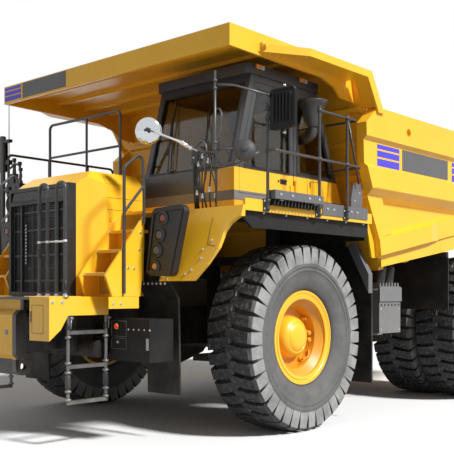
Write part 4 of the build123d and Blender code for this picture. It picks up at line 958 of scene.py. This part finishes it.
# ==== Bumper lamps and flap ====
# Round fog lamps of ribbed glass, let into the bumper's face between its bolts in black bezels, and a
# rubber flap bolted under the beam.
fog_y, fog_z = 0.165, 1.16
trim = bmesh.new()
lamps = bmesh.new()
for side in (1, -1):
    turned(trim, (2.695, side * fog_y, fog_z), to_front,
           [(0, 0.075), (0.002, 0.075), (0.004, 0.068), (0.003, 0.060)], 28)
    turned(lamps, (2.696, side * fog_y, fog_z), to_front,
           [(0, 0.059), (0.003, 0.050), (0.004, 0.03), (0.0045, 0.004)], 24)
    for z in (0.97, 1.33):
        nut(trim, (2.687, side * 0.25, z), to_front, 0.010)
flap = [(-0.31, 0.882), (0.31, 0.882), (0.29, 0.715), (-0.29, 0.715)]
prism(trim, facing_ahead(2.62, flap), (0.010, 0, 0))
piece("bumper_trim", "chassis", trim, black_trim, edges=0.002)
piece("bumper_lamps", "chassis", lamps, lamp_glass)

# ==== Light clusters and front panels ====
# Four round lamps in a moulded black housing on each fender: stop lamp on top, two driving lamps, and
# the turn lamp below. The yellow panels beside them are bolted, with punched grip holes at the deck.
cluster_x = 1.64                          # face of the housing
cluster_outline = ((1.262, 2.432), (1.708, 2.452), (1.512, 1.757), (1.160, 1.772))
bezels = bmesh.new()
driving = bmesh.new()
stop = bmesh.new()
turn = bmesh.new()
for side in (1, -1):
    corners = facing_ahead(cluster_x, [(side * y, z) for y, z in cluster_outline])
    frame_strip(bezels, corners, 0.030, (0.014, 0, 0))
    for y, z, r, glass in ((1.410, 2.340, 0.044, stop), (1.360, 2.170, 0.050, driving),
                           (1.315, 2.010, 0.050, driving), (1.290, 1.845, 0.040, turn)):
        bezel = [(0, r + 0.030), (0.010, r + 0.030), (0.024, r + 0.014), (0.027, r + 0.004), (0.012, r)]
        turned(bezels, (cluster_x, side * y, z), to_front, bezel, 32)
        dome = [(0, r), (0.010, r - 0.004), (0.020, r * 0.7), (0.024, r * 0.35), (0.025, 0.003)]
        turned(glass, (1.648, side * y, z), to_front, dome, 28)
piece("cluster_bezels", "chassis", bezels, black_trim, edges=0.002, slot="trim_plastic")
piece("driving_lamps", "chassis", driving, lamp_glass)
piece("stop_lamps", "chassis", stop, red_lens)
piece("turn_lamps", "chassis", turn, amber_lens)


deck_z = 2.45                             # top of the deck plates


def fender_x(z):
    """The leaning front panel of a fender at a height."""
    return 1.330 + 0.23 * (deck_z - z) / 0.76


off_fender = (0.957, 0, 0.29)
panel_bolts = ((1.80, 2.01), (1.80, 1.92), (1.70, 1.80), (1.37, 1.71),
               (1.62, 1.76), (1.90, 2.10), (1.29, 1.74))
bolts = bmesh.new()
seams = bmesh.new()
for side in (1, -1):
    for y, z in panel_bolts:
        nut(bolts, (fender_x(z) + 0.001, side * y, z), off_fender, 0.010)
    # seam of the lift-out panel
    seam = [(fender_x(z), side * y, z) for y, z in ((1.85, 2.34), (1.85, 2.06), (1.97, 2.04))]
    for start, end in zip(seam, seam[1:]):
        tube(seams, [start, end], 0.0025, 6)
piece("fender_bolts", "chassis", bolts, zinc)
# punched grip holes along the deck's front edge and down the arch, their rims in pale yellow: a painted
# highlight where light catches them
arch = [(1.80, 1.70), (1.905, 1.85), (2.01, 2.02), (2.04, 2.18), (2.09, 2.265), (2.19, 2.33)]
holes = bmesh.new()
for side in (1, -1):
    for k in range(30):
        for z in (2.395, 2.425):
            collar(holes, (1.3, side * (1.32 + k * 0.030), z), to_front, 0.006, 0.002, 8)
    for k in range(34):
        s = k / 33 * (len(arch) - 1)
        i = min(int(s), len(arch) - 2)
        y = arch[i][0] + (arch[i + 1][0] - arch[i][0]) * (s - i) - 0.028
        z = arch[i][1] + (arch[i + 1][1] - arch[i][1]) * (s - i) + 0.012
        collar(holes, (fender_x(z) + 0.001, side * y, z), off_fender, 0.004, 0.002, 8)
# painted highlight: the rims' pale yellow stands in for light catching the holes' edges
highlit_rim_paint = sprayed("highlit_rim_paint", (0.93, 0.80, 0.42), rough=0.3, dust=0.1, metallic=0.2)
piece("punched_grip_rims", "chassis", holes, highlit_rim_paint)
piece("fender_seams", "chassis", seams, black_trim)

# ==== Frame, axles and black guards round the wheel ====
# Frame rails, suspension and rear axle are sprayed black. Rubber flaps and folded plates in the same
# dusty black close off the wheel arches, with a grey edge guard at the rear corner.
flap_black = sprayed("flap_black", (0.009, 0.009, 0.0095), rough=0.6, dust=0.22, rub=0.05, gloss=0.25)
paint(flap_black, "wheel_guards", "body_mudguards", "main_frame", "front_suspension", "knuckle_left",
      "knuckle_right", "rear_struts", "deck_supports", "rear_axle")
bolts = bmesh.new()
for side in (1, -1):
    # edge strip of the flap ahead of the wheel, then the outer skirt
    for k in range(7):
        nut(bolts, (1.552, side * (0.95 + k * 0.065), 1.665), (0.95, 0, -0.1), 0.009)
    for k in range(6):
        nut(bolts, (0.95 - k * 0.38, side * 2.18, 2.395), (0, side, 0), 0.009)
piece("guard_bolts", "chassis", bolts, zinc)
guard_grey = sprayed("guard_grey", (0.13, 0.131, 0.135), rough=0.5, dust=0.5)
guards = bmesh.new()
for side in (1, -1):
    folded = [(1.80, 2.16), (2.10, 1.58), (2.115, 1.56), (2.115, 1.80), (1.90, 2.20)]
    prism(guards, facing_ahead(-1.262, [(side * y, z) for y, z in folded]), (0.09, 0, 0))
piece("arch_edge_guards", "chassis", guards, guard_grey, edges=0.004)

# ==== Side boxes and tanks ====
# Battery box behind the ladder with its isolator key, latch and a blank label; a bolted box with a
# finned cover and two filter bowls behind the front wheel. Sheet steel, sprayed black or grey and
# bolted to the frame.
battery_x = 1.90
latches = bmesh.new()
rivets = bmesh.new()
seams = bmesh.new()
for side in (1, -1):
    for z0, z1 in ((1.115, 1.275), (0.985, 1.095)):
        door = facing_ahead(battery_x, square_cut((side * 0.895, z0), (side * 1.125, z1)))
        for start, end in zip(door, door[1:] + door[:1]):
            tube(seams, [start, end], 0.003, 6)
    turned(latches, (battery_x, side * 1.003, 1.055), to_front,
           [(0, 0.026), (0.010, 0.026), (0.013, 0.020)], 20)
    for k in range(5):
        turned(rivets, (battery_x, side * (1.16 + 0.08 * k), 1.190), to_front,
               [(0, 0.011), (0.006, 0.009), (0.008, 0.004)], 12)
    nut(rivets, (1.913, side * 1.003, 1.055), to_front, 0.007)
piece("box_latches", "chassis", latches, black_trim)
piece("box_rivets", "chassis", rivets, zinc)
piece("box_door_seams", "chassis", seams, guard_grey)
isolator_yellow = sprayed("isolator_yellow", (0.9, 0.75, 0.03), rough=0.35, dust=0.1)
isolator_red = sprayed("isolator_red", (0.75, 0.01, 0.03), rough=0.3, dust=0.05)
blank_label = sprayed("blank_label", (0.55, 0.55, 0.54), rough=0.45, dust=0.15, rub=0.0)
ring = bmesh.new()
key = bmesh.new()
label = bmesh.new()
turned(ring, (battery_x, 0.975, 1.217), to_front, [(0, 0.030), (0.008, 0.030), (0.010, 0.026)], 24)
turned(key, (1.91, 0.988, 1.217), to_front,
       [(0, 0.020), (0.014, 0.020), (0.018, 0.016), (0.02, 0.008)], 20)
bar(key, (1.925, 0.984, 1.199), (1.945, 0.992, 1.235))
prism(label, facing_ahead(battery_x, square_cut((1.425, 0.985), (1.465, 1.105))), (0.0015, 0, 0))
piece("isolator_ring", "chassis", ring, isolator_yellow)
piece("isolator_key", "chassis", key, isolator_red, edges=0.002)
piece("blank_label_plate", "chassis", label, blank_label, edges=0.001)

box_black = sprayed("box_black", (0.006, 0.006, 0.0065), rough=0.5, dust=0.06, rub=0.15, gloss=0.25)
paint(box_black, "side_box")
tank_grey = sprayed("tank_grey", (0.165, 0.167, 0.172), rough=0.5, dust=0.3)
paint(tank_grey, "tanks")
filter_box_y = 1.86
cover = bmesh.new()
bolts = bmesh.new()
seals = bmesh.new()
# fins along the box's head, and its bolted lid
for k in range(7):
    x = -2.36 + k * 0.075
    fin = [(x, 1.64), (x + 0.045, 1.64), (x + 0.036, 1.70), (x + 0.010, 1.70)]
    prism(cover, facing_left(1.70, fin), (0, 0.15, 0))
lid = [(-2.39, 1.45), (-1.83, 1.45), (-1.83, 1.63), (-1.87, 1.65), (-2.35, 1.65), (-2.39, 1.63)]
prism(cover, facing_left(filter_box_y, lid), (0, 0.018, 0))
for k in range(6):
    nut(seals, (-2.33 + k * 0.088, filter_box_y, 1.405), to_left, 0.009)
for x in (-2.34, -1.88):
    for z in (1.07, 1.35):
        nut(bolts, (x, filter_box_y, z), to_left, 0.009)
piece("filter_box_cover", "chassis", cover, tank_grey, edges=0.004)
piece("filter_box_bolts", "chassis", bolts, zinc)
piece("filter_box_seals", "chassis", seals, black_trim)
bowl_black = sprayed("bowl_black", (0.035, 0.035, 0.037), rough=0.35, dust=0.4)
bowls = bmesh.new()
for x in (-2.22, -2.00):
    turned(bowls, (x, 1.74, 1.66), (-0.25, 0, 1),
           [(0, 0.060), (0.02, 0.085), (0.24, 0.085), (0.27, 0.075), (0.30, 0.05), (0.31, 0.02)], 28)
    collar(bowls, (x - 0.015, 1.74, 1.74), (-0.25, 0, 1), 0.089, 0.02, 28)
piece("filter_bowls", "chassis", bowls, bowl_black, edges=0.002)
lines = bmesh.new()
for k in range(3):
    y = 1.62 + 0.05 * k
    tube(lines, [(-1.80, y, 1.52), (-1.72, y + 0.02, 1.42), (-1.70, y, 1.25), (-1.78, y - 0.05, 1.06)],
         0.012, 10)
piece("brake_lines", "chassis", lines, black_trim)

# ==== Handrails ====
# Bent steel tube in dark grey, its posts bolted to the deck's edge through clamped feet. Cast clamps
# hold the middle rails to the posts.
rail_grey = sprayed("rail_grey", (0.024, 0.025, 0.027), rough=0.40, dust=0.3, rub=0.5,
                    rub_colour=(0.32, 0.32, 0.33), coat=0.1)
paint(rail_grey, "handrails_left", "handrails_right", "stair_rails")
left_rail_y, right_rail_y = 2.26, -2.15
left_posts = (0.98, 0.07, -0.48)          # along the deck, from the front axle
right_posts = (1.15, 0.48, -0.22, -0.70)
feet = bmesh.new()
bolts = bmesh.new()
for y, side, posts in ((left_rail_y, 1, left_posts), (right_rail_y, -1, right_posts)):
    inner_y = y - side * 0.03 - side * 0.01
    outer_y = y - side * 0.03 + side * 0.016
    for x in posts:
        bar(feet, (x - 0.045, min(inner_y, outer_y), 2.405), (x + 0.045, max(inner_y, outer_y), 2.535))
        for z in (2.43, 2.51):
            for across in (-0.032, 0.032):
                nut(bolts, (x + across, outer_y, z), (0, side, 0), 0.009)
            collar(feet, (x, y, z - 0.012), upward, 0.027, 0.024, 18)
for y in (-1.14, 0.22, -0.40):
    turned(feet, (1.20, y, deck_z), upward, [(0, 0.05), (0.010, 0.05), (0.012, 0.026), (0.05, 0.024)], 20)
piece("rail_feet", "chassis", feet, rail_grey, edges=0.002)
piece("rail_feet_bolts", "chassis", bolts, zinc)
clamps = bmesh.new()
for x, z in ((0.07, 3.05), (0.07, 3.59), (-0.48, 3.05), (-0.48, 3.59)):
    collar(clamps, (x, left_rail_y, z - 0.024), upward, 0.0235, 0.048)
for z in (3.02, 3.36, 3.46):
    collar(clamps, (0.98, left_rail_y, z - 0.02), upward, 0.028, 0.04)
piece("rail_clamps", "chassis", clamps, rail_grey)
# thin stay behind the last post
stay = bmesh.new()
tube(stay, [(-0.50, left_rail_y, 3.56), (-0.80, 2.215, 2.86)], 0.013, 12)
piece("rail_stay", "chassis", stay, rail_grey)

# ==== Step outside the cab door ====
# Folded steel plates, sprayed grey and bolted to the deck's edge, with a stiff brush along the foot
# that wipes the boots.
step_grey = sprayed("step_grey", (0.115, 0.117, 0.122), rough=0.42, dust=0.4)
paint(step_grey, "door_step")
bolts = bmesh.new()
brush = bmesh.new()
for y, z, r, along in ((2.34, 2.58, 0.010, (0.18, 0.36, 0.66, 0.86)),
                       (2.242, 2.51, 0.010, (-0.72, -0.24, -0.60, -0.12))):
    for x in along:
        nut(bolts, (x, y, z), to_left, r)
for x, z in ((-0.88, 2.76), (-0.88, 2.52), (-0.78, 2.66)):
    nut(bolts, (x, 2.17, z), to_left, 0.009)
for k in range(14):
    x = 0.15 + k * 0.058
    tuft = [(x, 2.535), (x + 0.016, 2.535), (x + 0.034, 2.47), (x + 0.020, 2.47)]
    prism(brush, facing_left(2.25, tuft), (0, 0.06, 0))
piece("step_plate_bolts", "chassis", bolts, zinc)
piece("step_brush", "chassis", brush, black_trim)

# ==== Mirrors and their arms ====
# Two heated flat mirrors in ribbed black housings out on the walkway posts, and round wide-angle
# mirrors on bent grey tubes ahead of the windscreen. Clamps and ball joints hold them.
mirror_black = sprayed("mirror_housing", (0.005, 0.005, 0.0055), rough=0.22, dust=0.1, rub=0.0,
                       peel=0.2, coat=0.1, gloss=0.12)
paint(mirror_black, "mirrors")
silvered = sprayed("silvered_glass", (0.58, 0.60, 0.62), rough=0.05, dust=0.1, metallic=1.0, rub=0.0,
                   peel=0.0, bump=0.02)
flat_mirrors = ((0.98, 2.46, 3.43), (1.15, -2.35, 3.43))       # middle of each housing
ribs = bmesh.new()
faces = bmesh.new()
pins = bmesh.new()
for x, y, z in flat_mirrors:
    for k in range(6):
        turned(ribs, (x + 0.020, y - 0.105 + k * 0.042, z - 0.14), upward,
               [(0, 0.008), (0.02, 0.016), (0.28, 0.016), (0.30, 0.008)], 14)
    # bands across the housing's foot and head, and the pins it turns on
    for low_z, tall, half in ((z - 0.205, 0.016, 0.150), (z + 0.185, 0.012, 0.120)):
        bar(ribs, (x + 0.018, y - half, low_z), (x + 0.034, y + half, low_z + tall))
    for pin_z, way in ((z + 0.21, 1), (z - 0.21, -1)):
        turned(pins, (x - 0.02, y, pin_z), (0, 0, way),
               [(0, 0.012), (0.02, 0.012), (0.022, 0.018), (0.034, 0.018), (0.04, 0.010)], 16)
    # the flat glass above, and the wide-angle strip below it
    for low_z, high_z, depth in ((z - 0.12, z + 0.19, 0.003), (z - 0.195, z - 0.14, 0.006)):
        outline = square_cut((y - 0.14, low_z), (y + 0.14, high_z))
        prism(faces, facing_ahead(x - 0.0203, outline), (-depth, 0, 0))
piece("mirror_ribs", "chassis", ribs, mirror_black, edges=0.003)
piece("mirror_pins", "chassis", pins, zinc)
piece("mirror_faces", "chassis", faces, silvered, edges=0.004)
arm_grey = sprayed("arm_grey", (0.085, 0.087, 0.09), rough=0.36, dust=0.2, metallic=0.3, rub=0.4,
                   rub_colour=(0.5, 0.5, 0.5))
arms = bmesh.new()
# tall post in front of the windscreen's outer corner, and the arms out to the flat mirror
tube(arms, [(1.26, 1.80, deck_z), (1.26, 1.80, 2.95), (1.30, 1.82, 3.10), (1.30, 1.82, 3.86)], 0.013)
tube(arms, [(1.30, 1.82, 3.72), (1.20, 2.00, 3.70), (1.01, 2.31, 3.58)], 0.012)
tube(arms, [(1.01, 2.30, 3.60), (1.00, 2.26, 3.50)], 0.012, 12)
tube(arms, [(1.30, 1.82, 3.05), (1.22, 2.06, 3.04)], 0.012)
tube(arms, [(1.26, 1.82, 2.86), (1.19, 2.02, 2.89), (1.10, 2.24, 3.00)], 0.010, 12, 0.04)
# loop that guards the wiper
tube(arms, [(1.235, 1.80, 3.05), (1.15, 1.78, 3.46), (1.13, 1.72, 3.52), (1.13, 1.66, 3.50),
            (1.20, 1.66, 3.06)], 0.010, 12)
for x, y, z in ((1.265, 1.803, 2.96), (1.297, 1.818, 3.05), (1.297, 1.818, 3.12), (1.297, 1.818, 3.68),
                (1.297, 1.818, 3.76)):
    collar(arms, (x, y, z - 0.012), upward, 0.021, 0.024)
# bent pipes between the long arm's bracket, the post and the round mirror
tube(arms, [(1.26, 1.50, 2.70), (1.27, 1.50, 3.10), (1.28, 1.62, 3.18), (1.28, 1.68, 3.10),
            (1.28, 1.66, 2.75)], 0.011, 12, 0.06)
tube(arms, [(1.27, 1.58, 2.62), (1.27, 1.56, 2.98), (1.28, 1.70, 3.05), (1.28, 1.80, 3.00),
            (1.27, 1.80, 2.80)], 0.010, 12, 0.06)
tube(arms, [(1.28, 1.66, 2.92), (1.27, 1.88, 2.86), (1.22, 2.02, 2.92), (1.20, 2.10, 3.00)], 0.011, 12)
tube(arms, [(1.27, 1.50, 2.86), (1.27, 1.82, 2.84)], 0.011, 12)
piece("mirror_arms", "chassis", arms, arm_grey)

# round mirror low on the post, with a ball joint and three screws on its back
dull_grey = sprayed("mirror_back_grey", (0.040, 0.041, 0.043), rough=0.5, dust=0.5, rub=0.2)
axis = Vector((0.80, 0.56, 0.10)).normalized()
centre = Vector((1.19, 2.13, 3.02))
back = bmesh.new()
turned(back, centre, axis,
       [(-0.012, 0.108), (-0.006, 0.115), (0.006, 0.115), (0.020, 0.106), (0.038, 0.084), (0.050, 0.054),
        (0.055, 0.026), (0.057, 0.004)], 40)
turned(back, centre + axis * 0.058, axis, [(0, 0.030), (0.014, 0.028), (0.018, 0.020)], 18)
u, v, w = ring_axes(axis)
for k in range(3):
    a = 2 * math.pi * k / 3 + 0.4
    nut(back, centre + axis * 0.064 + (u * math.cos(a) + v * math.sin(a)) * 0.02, axis, 0.006)
piece("round_mirror_left", "chassis", back, dull_grey)
face = bmesh.new()
turned(face, centre - axis * 0.014, -axis,
       [(0, 0.107), (0.008, 0.086), (0.018, 0.044), (0.020, 0.004)], 36)
piece("round_mirror_left_face", "chassis", face, silvered)
# pale wide-angle mirror over the hood, on its long tapering arm
centre = Vector((1.60, 1.144, 3.282))
axis = Vector((0.72, 0.62, -0.12)).normalized()
face = bmesh.new()
turned(face, centre, axis,
       [(-0.010, 0.142), (0.004, 0.148), (0.020, 0.138), (0.042, 0.104), (0.054, 0.060),
        (0.058, 0.004)], 44)
piece("round_mirror_right", "chassis", face, silvered)
back = bmesh.new()
turned(back, centre - axis * 0.012, -axis, [(0, 0.138), (0.020, 0.12), (0.032, 0.06), (0.035, 0.02)], 36)
piece("round_mirror_right_back", "chassis", back, dull_grey)
clamp = bmesh.new()
bar(clamp, (1.64, 1.135, 3.268), (1.672, 1.215, 3.296))
tube(clamp, [(1.66, 1.16, 3.30), (1.62, 1.19, 3.262)], 0.022, 12)
piece("round_mirror_clamp", "chassis", clamp, black_trim, edges=0.004)
arm_middle, arm_foot = Vector((1.40, 1.40, 3.17)), Vector((1.25, 1.52, 3.06))
arm = bmesh.new()
tube(arm, [(1.64, 1.18, 3.285), arm_middle, arm_foot], 0.011, 14, tip=0.024)
for t in (0.1, 0.35, 0.6):
    collar(arm, arm_middle.lerp(arm_foot, t), (-0.15, 0.12, -0.11), 0.028, 0.02)
bright_arm = sprayed("bright_arm", (0.62, 0.63, 0.64), rough=0.22, dust=0.1, metallic=0.9)
piece("long_mirror_arm", "chassis", arm, bright_arm)
# bracket, hoses and cable loops between the arms and the deck, with their steel unions
cables = bmesh.new()
bar(cables, (1.21, 1.47, 2.93), (1.29, 1.56, 3.06))
tube(cables, [(1.25, 1.52, deck_z), (1.25, 1.52, 2.95)], 0.020, 12)
for k in range(5):
    y = 1.47 + 0.055 * k
    tube(cables, [(1.25, y, 3.02), (1.30 - 0.01 * k, y + 0.04, 2.86), (1.27, y + 0.02 * (-1) ** k, 2.64),
                  (1.24, y + 0.01, 2.46)], 0.008 + 0.002 * (k % 2), 10, 0.08)
tube(cables, [(1.27, 1.80, 3.02), (1.33, 1.78, 2.86), (1.30, 1.84, 2.66), (1.27, 1.80, 2.50)],
     0.008, 10, 0.08)
tube(cables, [(1.27, 1.60, 3.10), (1.30, 1.70, 3.02), (1.28, 1.80, 3.0)], 0.010, 10, 0.06)
piece("mirror_cables", "chassis", cables, black_trim)
unions = bmesh.new()
for y, z in ((1.50, 2.98), (1.56, 2.90), (1.62, 2.98), (1.70, 2.92),
             (1.54, 2.60), (1.62, 2.56), (1.72, 2.62), (1.80, 2.55)):
    turned(unions, (1.275, y, z), (0.2, 0, 1), [(0, 0.015), (0.030, 0.015)], 6, False)
    collar(unions, (1.275, y, z + 0.03), (0.2, 0, 1), 0.010, 0.022, 12)
piece("cable_unions", "chassis", unions, zinc)

# ==== Cab air intake ====
# Moulded dark grey bell with a rolled lip. It stands on a pipe that turns into the cab behind the
# door.
intake_grey = sprayed("intake_grey", (0.040, 0.041, 0.043), rough=0.35, dust=0.3, coat=0.2)
intake = bmesh.new()
turned(intake, (-0.27, 1.93, 3.50), (0.02, 0, 1),
       [(0, 0.070), (0.06, 0.085), (0.16, 0.115), (0.25, 0.150), (0.275, 0.172), (0.290, 0.176),
        (0.300, 0.170), (0.306, 0.150), (0.285, 0.14), (0.20, 0.10)], 32)
tube(intake, [(-0.27, 1.93, 3.52), (-0.27, 1.93, 3.40), (-0.27, 1.80, 3.36)], 0.050, 16, 0.06)
piece("cab_air_intake", "chassis", intake, intake_grey, edges=0.001)

# ==== Windscreen wipers ====
# Two parallel-arm wipers with long blades, parked upright on the glass. Pressed steel, painted black,
# and hung from spindles through the cab's front.
wipers = bmesh.new()
for y0, y1 in ((1.45, 1.30), (0.85, 0.72)):
    foot = (screen_x(2.95, -0.02), y0, 2.95)
    tip = (screen_x(3.62, -0.035), y1, 3.62)
    blade = [(screen_x(z, -0.012), y, z) for y, z in ((y1 + 0.01, 3.15), (y1 - 0.01, 3.80))]
    tube(wipers, [foot, tip], 0.008, 8)
    tube(wipers, [(foot[0], foot[1] - 0.05, foot[2]), (tip[0], tip[1] - 0.03, tip[2] - 0.04)], 0.006, 8)
    tube(wipers, blade, 0.009, 8)
    turned(wipers, (foot[0] - 0.02, foot[1], foot[2]), (0.9, 0, 0.3),
           [(0, 0.024), (0.03, 0.022), (0.034, 0.012)], 18)
piece("wipers", "chassis", wipers, black_trim)

# ==== Body stripes and blank plates ====
# Cut vinyl, stuck on the body's sides and the canopy's front edge: groups of three blue bars, and a
# dark grey plate that is left blank.
bar_blue = sprayed("stripe_blue", (0.060, 0.045, 0.62), rough=0.38, dust=0.12, rub=0.1, peel=0.4)
plate_grey = sprayed("plate_grey", (0.090, 0.090, 0.093), rough=0.42, dust=0.15, rub=0.1, peel=0.4)
vinyl = 0.0015
bars = bmesh.new()
plates = bmesh.new()
for side in (1, -1):
    wall_y = side * 2.2552
    for x0, x1 in ((-1.14, -1.67), (-3.10, -3.63)):
        for z0, z1 in ((3.115, 3.205), (3.228, 3.303), (3.325, 3.378)):
            prism(bars, facing_left(wall_y, square_cut((x0, z0), (x1, z1))), (0, side * vinyl, 0))
    prism(plates, facing_left(wall_y, square_cut((-1.74, 3.118), (-2.98, 3.385))), (0, side * vinyl, 0))
piece("blue_side_bars", "body", bars, bar_blue)
piece("blank_side_plates", "body", plates, plate_grey)
canopy_front_x = 1.3003
bars = bmesh.new()
plates = bmesh.new()
for z0, z1 in ((4.122, 4.180), (4.195, 4.245), (4.262, 4.300)):
    prism(bars, facing_ahead(canopy_front_x, square_cut((-2.0, z0), (-1.635, z1))), (vinyl, 0, 0))
prism(plates, facing_ahead(canopy_front_x, square_cut((-1.60, 4.112), (-0.68, 4.308))), (vinyl, 0, 0))
piece("blue_canopy_bars", "body", bars, bar_blue)
piece("blank_canopy_plate", "body", plates, plate_grey)

# ==== Canopy ribs and body welds ====
# Gussets cut from plate are welded under the canopy to stiffen it. The body's sheets meet in weld
# beads, and lifting pins of round bar stand at the shoulders.
canopy_low_z = 4.26
gussets = bmesh.new()
for y0, count, pitch, deep_z, back_x, thick in ((-1.72, 4, 0.24, 4.13, 0.98, 0.014),
                                                (-0.62, 8, 0.35, 4.20, 1.12, 0.012)):
    gusset = [(1.26, canopy_low_z), (1.26, deep_z), (back_x, canopy_low_z)]
    for k in range(count):
        prism(gussets, facing_left(y0 + k * pitch, gusset), (0, thick, 0))
piece("canopy_gussets", "body", gussets, body_paint, edges=0.002, slot="yellow_paint")
pin_x, pin_y = 0.80, 2.05
welds = bmesh.new()
for side in (1, -1):
    turned(welds, (pin_x, side * pin_y, 4.15), upward, [(0, 0.035), (0.06, 0.035), (0.07, 0.030)], 24)
    collar(welds, (pin_x, side * pin_y, 4.19), (0, side, 0), 0.022, 0.05, 18)
    # weld beads along the top rail and the shelf
    for y, z, x0, x1 in ((2.302, 3.44, -0.86, -6.45), (2.292, 2.84, -1.05, -6.35)):
        tube(welds, [(x0, side * (y - 0.004), z), (x1, side * (y - 0.004), z)], 0.006, 8)
piece("lifting_pins_and_welds", "body", welds, body_paint, slot="yellow_paint")

# ==== Equipment on the right deck ====
# Antenna on a thick clamped post, valve block, levers and hoses ahead of the right rails: steel,
# painted dark grey or black and bolted to the deck.
post_x, post_y = 1.20, -2.21
post = bmesh.new()
turned(post, (post_x, post_y, deck_z), upward,
       [(0, 0.055), (0.012, 0.055), (0.014, 0.036), (1.15, 0.036), (1.16, 0.044), (1.24, 0.044),
        (1.25, 0.034)], 24)
tube(post, [(post_x, post_y, 2.95), (post_x, -2.10, 2.98), (post_x, -2.02, 2.98)], 0.016, 12, 0.03)
piece("antenna_post", "chassis", post, arm_grey)
valves = bmesh.new()
# antenna beside the post, its spring foot and clamps
turned(valves, (post_x, -2.06, 2.88), upward,
       [(0, 0.024), (0.10, 0.024), (0.11, 0.030), (0.16, 0.030), (0.17, 0.014), (0.42, 0.012),
        (0.43, 0.007), (1.42, 0.004)], 16)
bar(valves, (1.17, -2.24, 3.60), (1.23, -2.02, 3.64))
bar(valves, (1.17, -2.10, 3.30), (1.23, -2.02, 3.36))
# valve block with its levers and unions between the post and the end rail
bar(valves, (1.15, -2.02, 2.86), (1.27, -1.74, 3.02))
bar(valves, (1.17, -1.98, 3.02), (1.25, -1.88, 3.16))
for k, (y, h) in enumerate(((-1.96, 0.24), (-1.88, 0.32), (-1.80, 0.18), (-1.76, 0.26))):
    lever = [(0, 0.024), (0.05, 0.024), (0.06, 0.015), (h, 0.015), (h + 0.01, 0.028), (h + 0.05, 0.028)]
    turned(valves, (1.21, y, 3.00), (0, 0.12 * (-1) ** k, 1), lever, 14)
tube(valves, [(1.22, -2.00, 3.24), (1.22, -1.90, 3.30), (1.22, -1.78, 3.26), (1.22, -1.74, 3.10)],
     0.014, 12)
for k in range(4):
    y = -1.99 + 0.075 * k
    tube(valves, [(1.24, y, 2.90), (1.28, y - 0.03, 2.74), (1.24, y + 0.04, 2.58), (1.22, y, 2.46)],
         0.013, 10, 0.08)
for y in (-1.97, -1.79):
    turned(valves, (1.27, y, 2.94), to_front,
           [(0, 0.048), (0.02, 0.052), (0.03, 0.046), (0.034, 0.030)], 20)
piece("deck_valve_block", "chassis", valves, black_trim, edges=0.003)
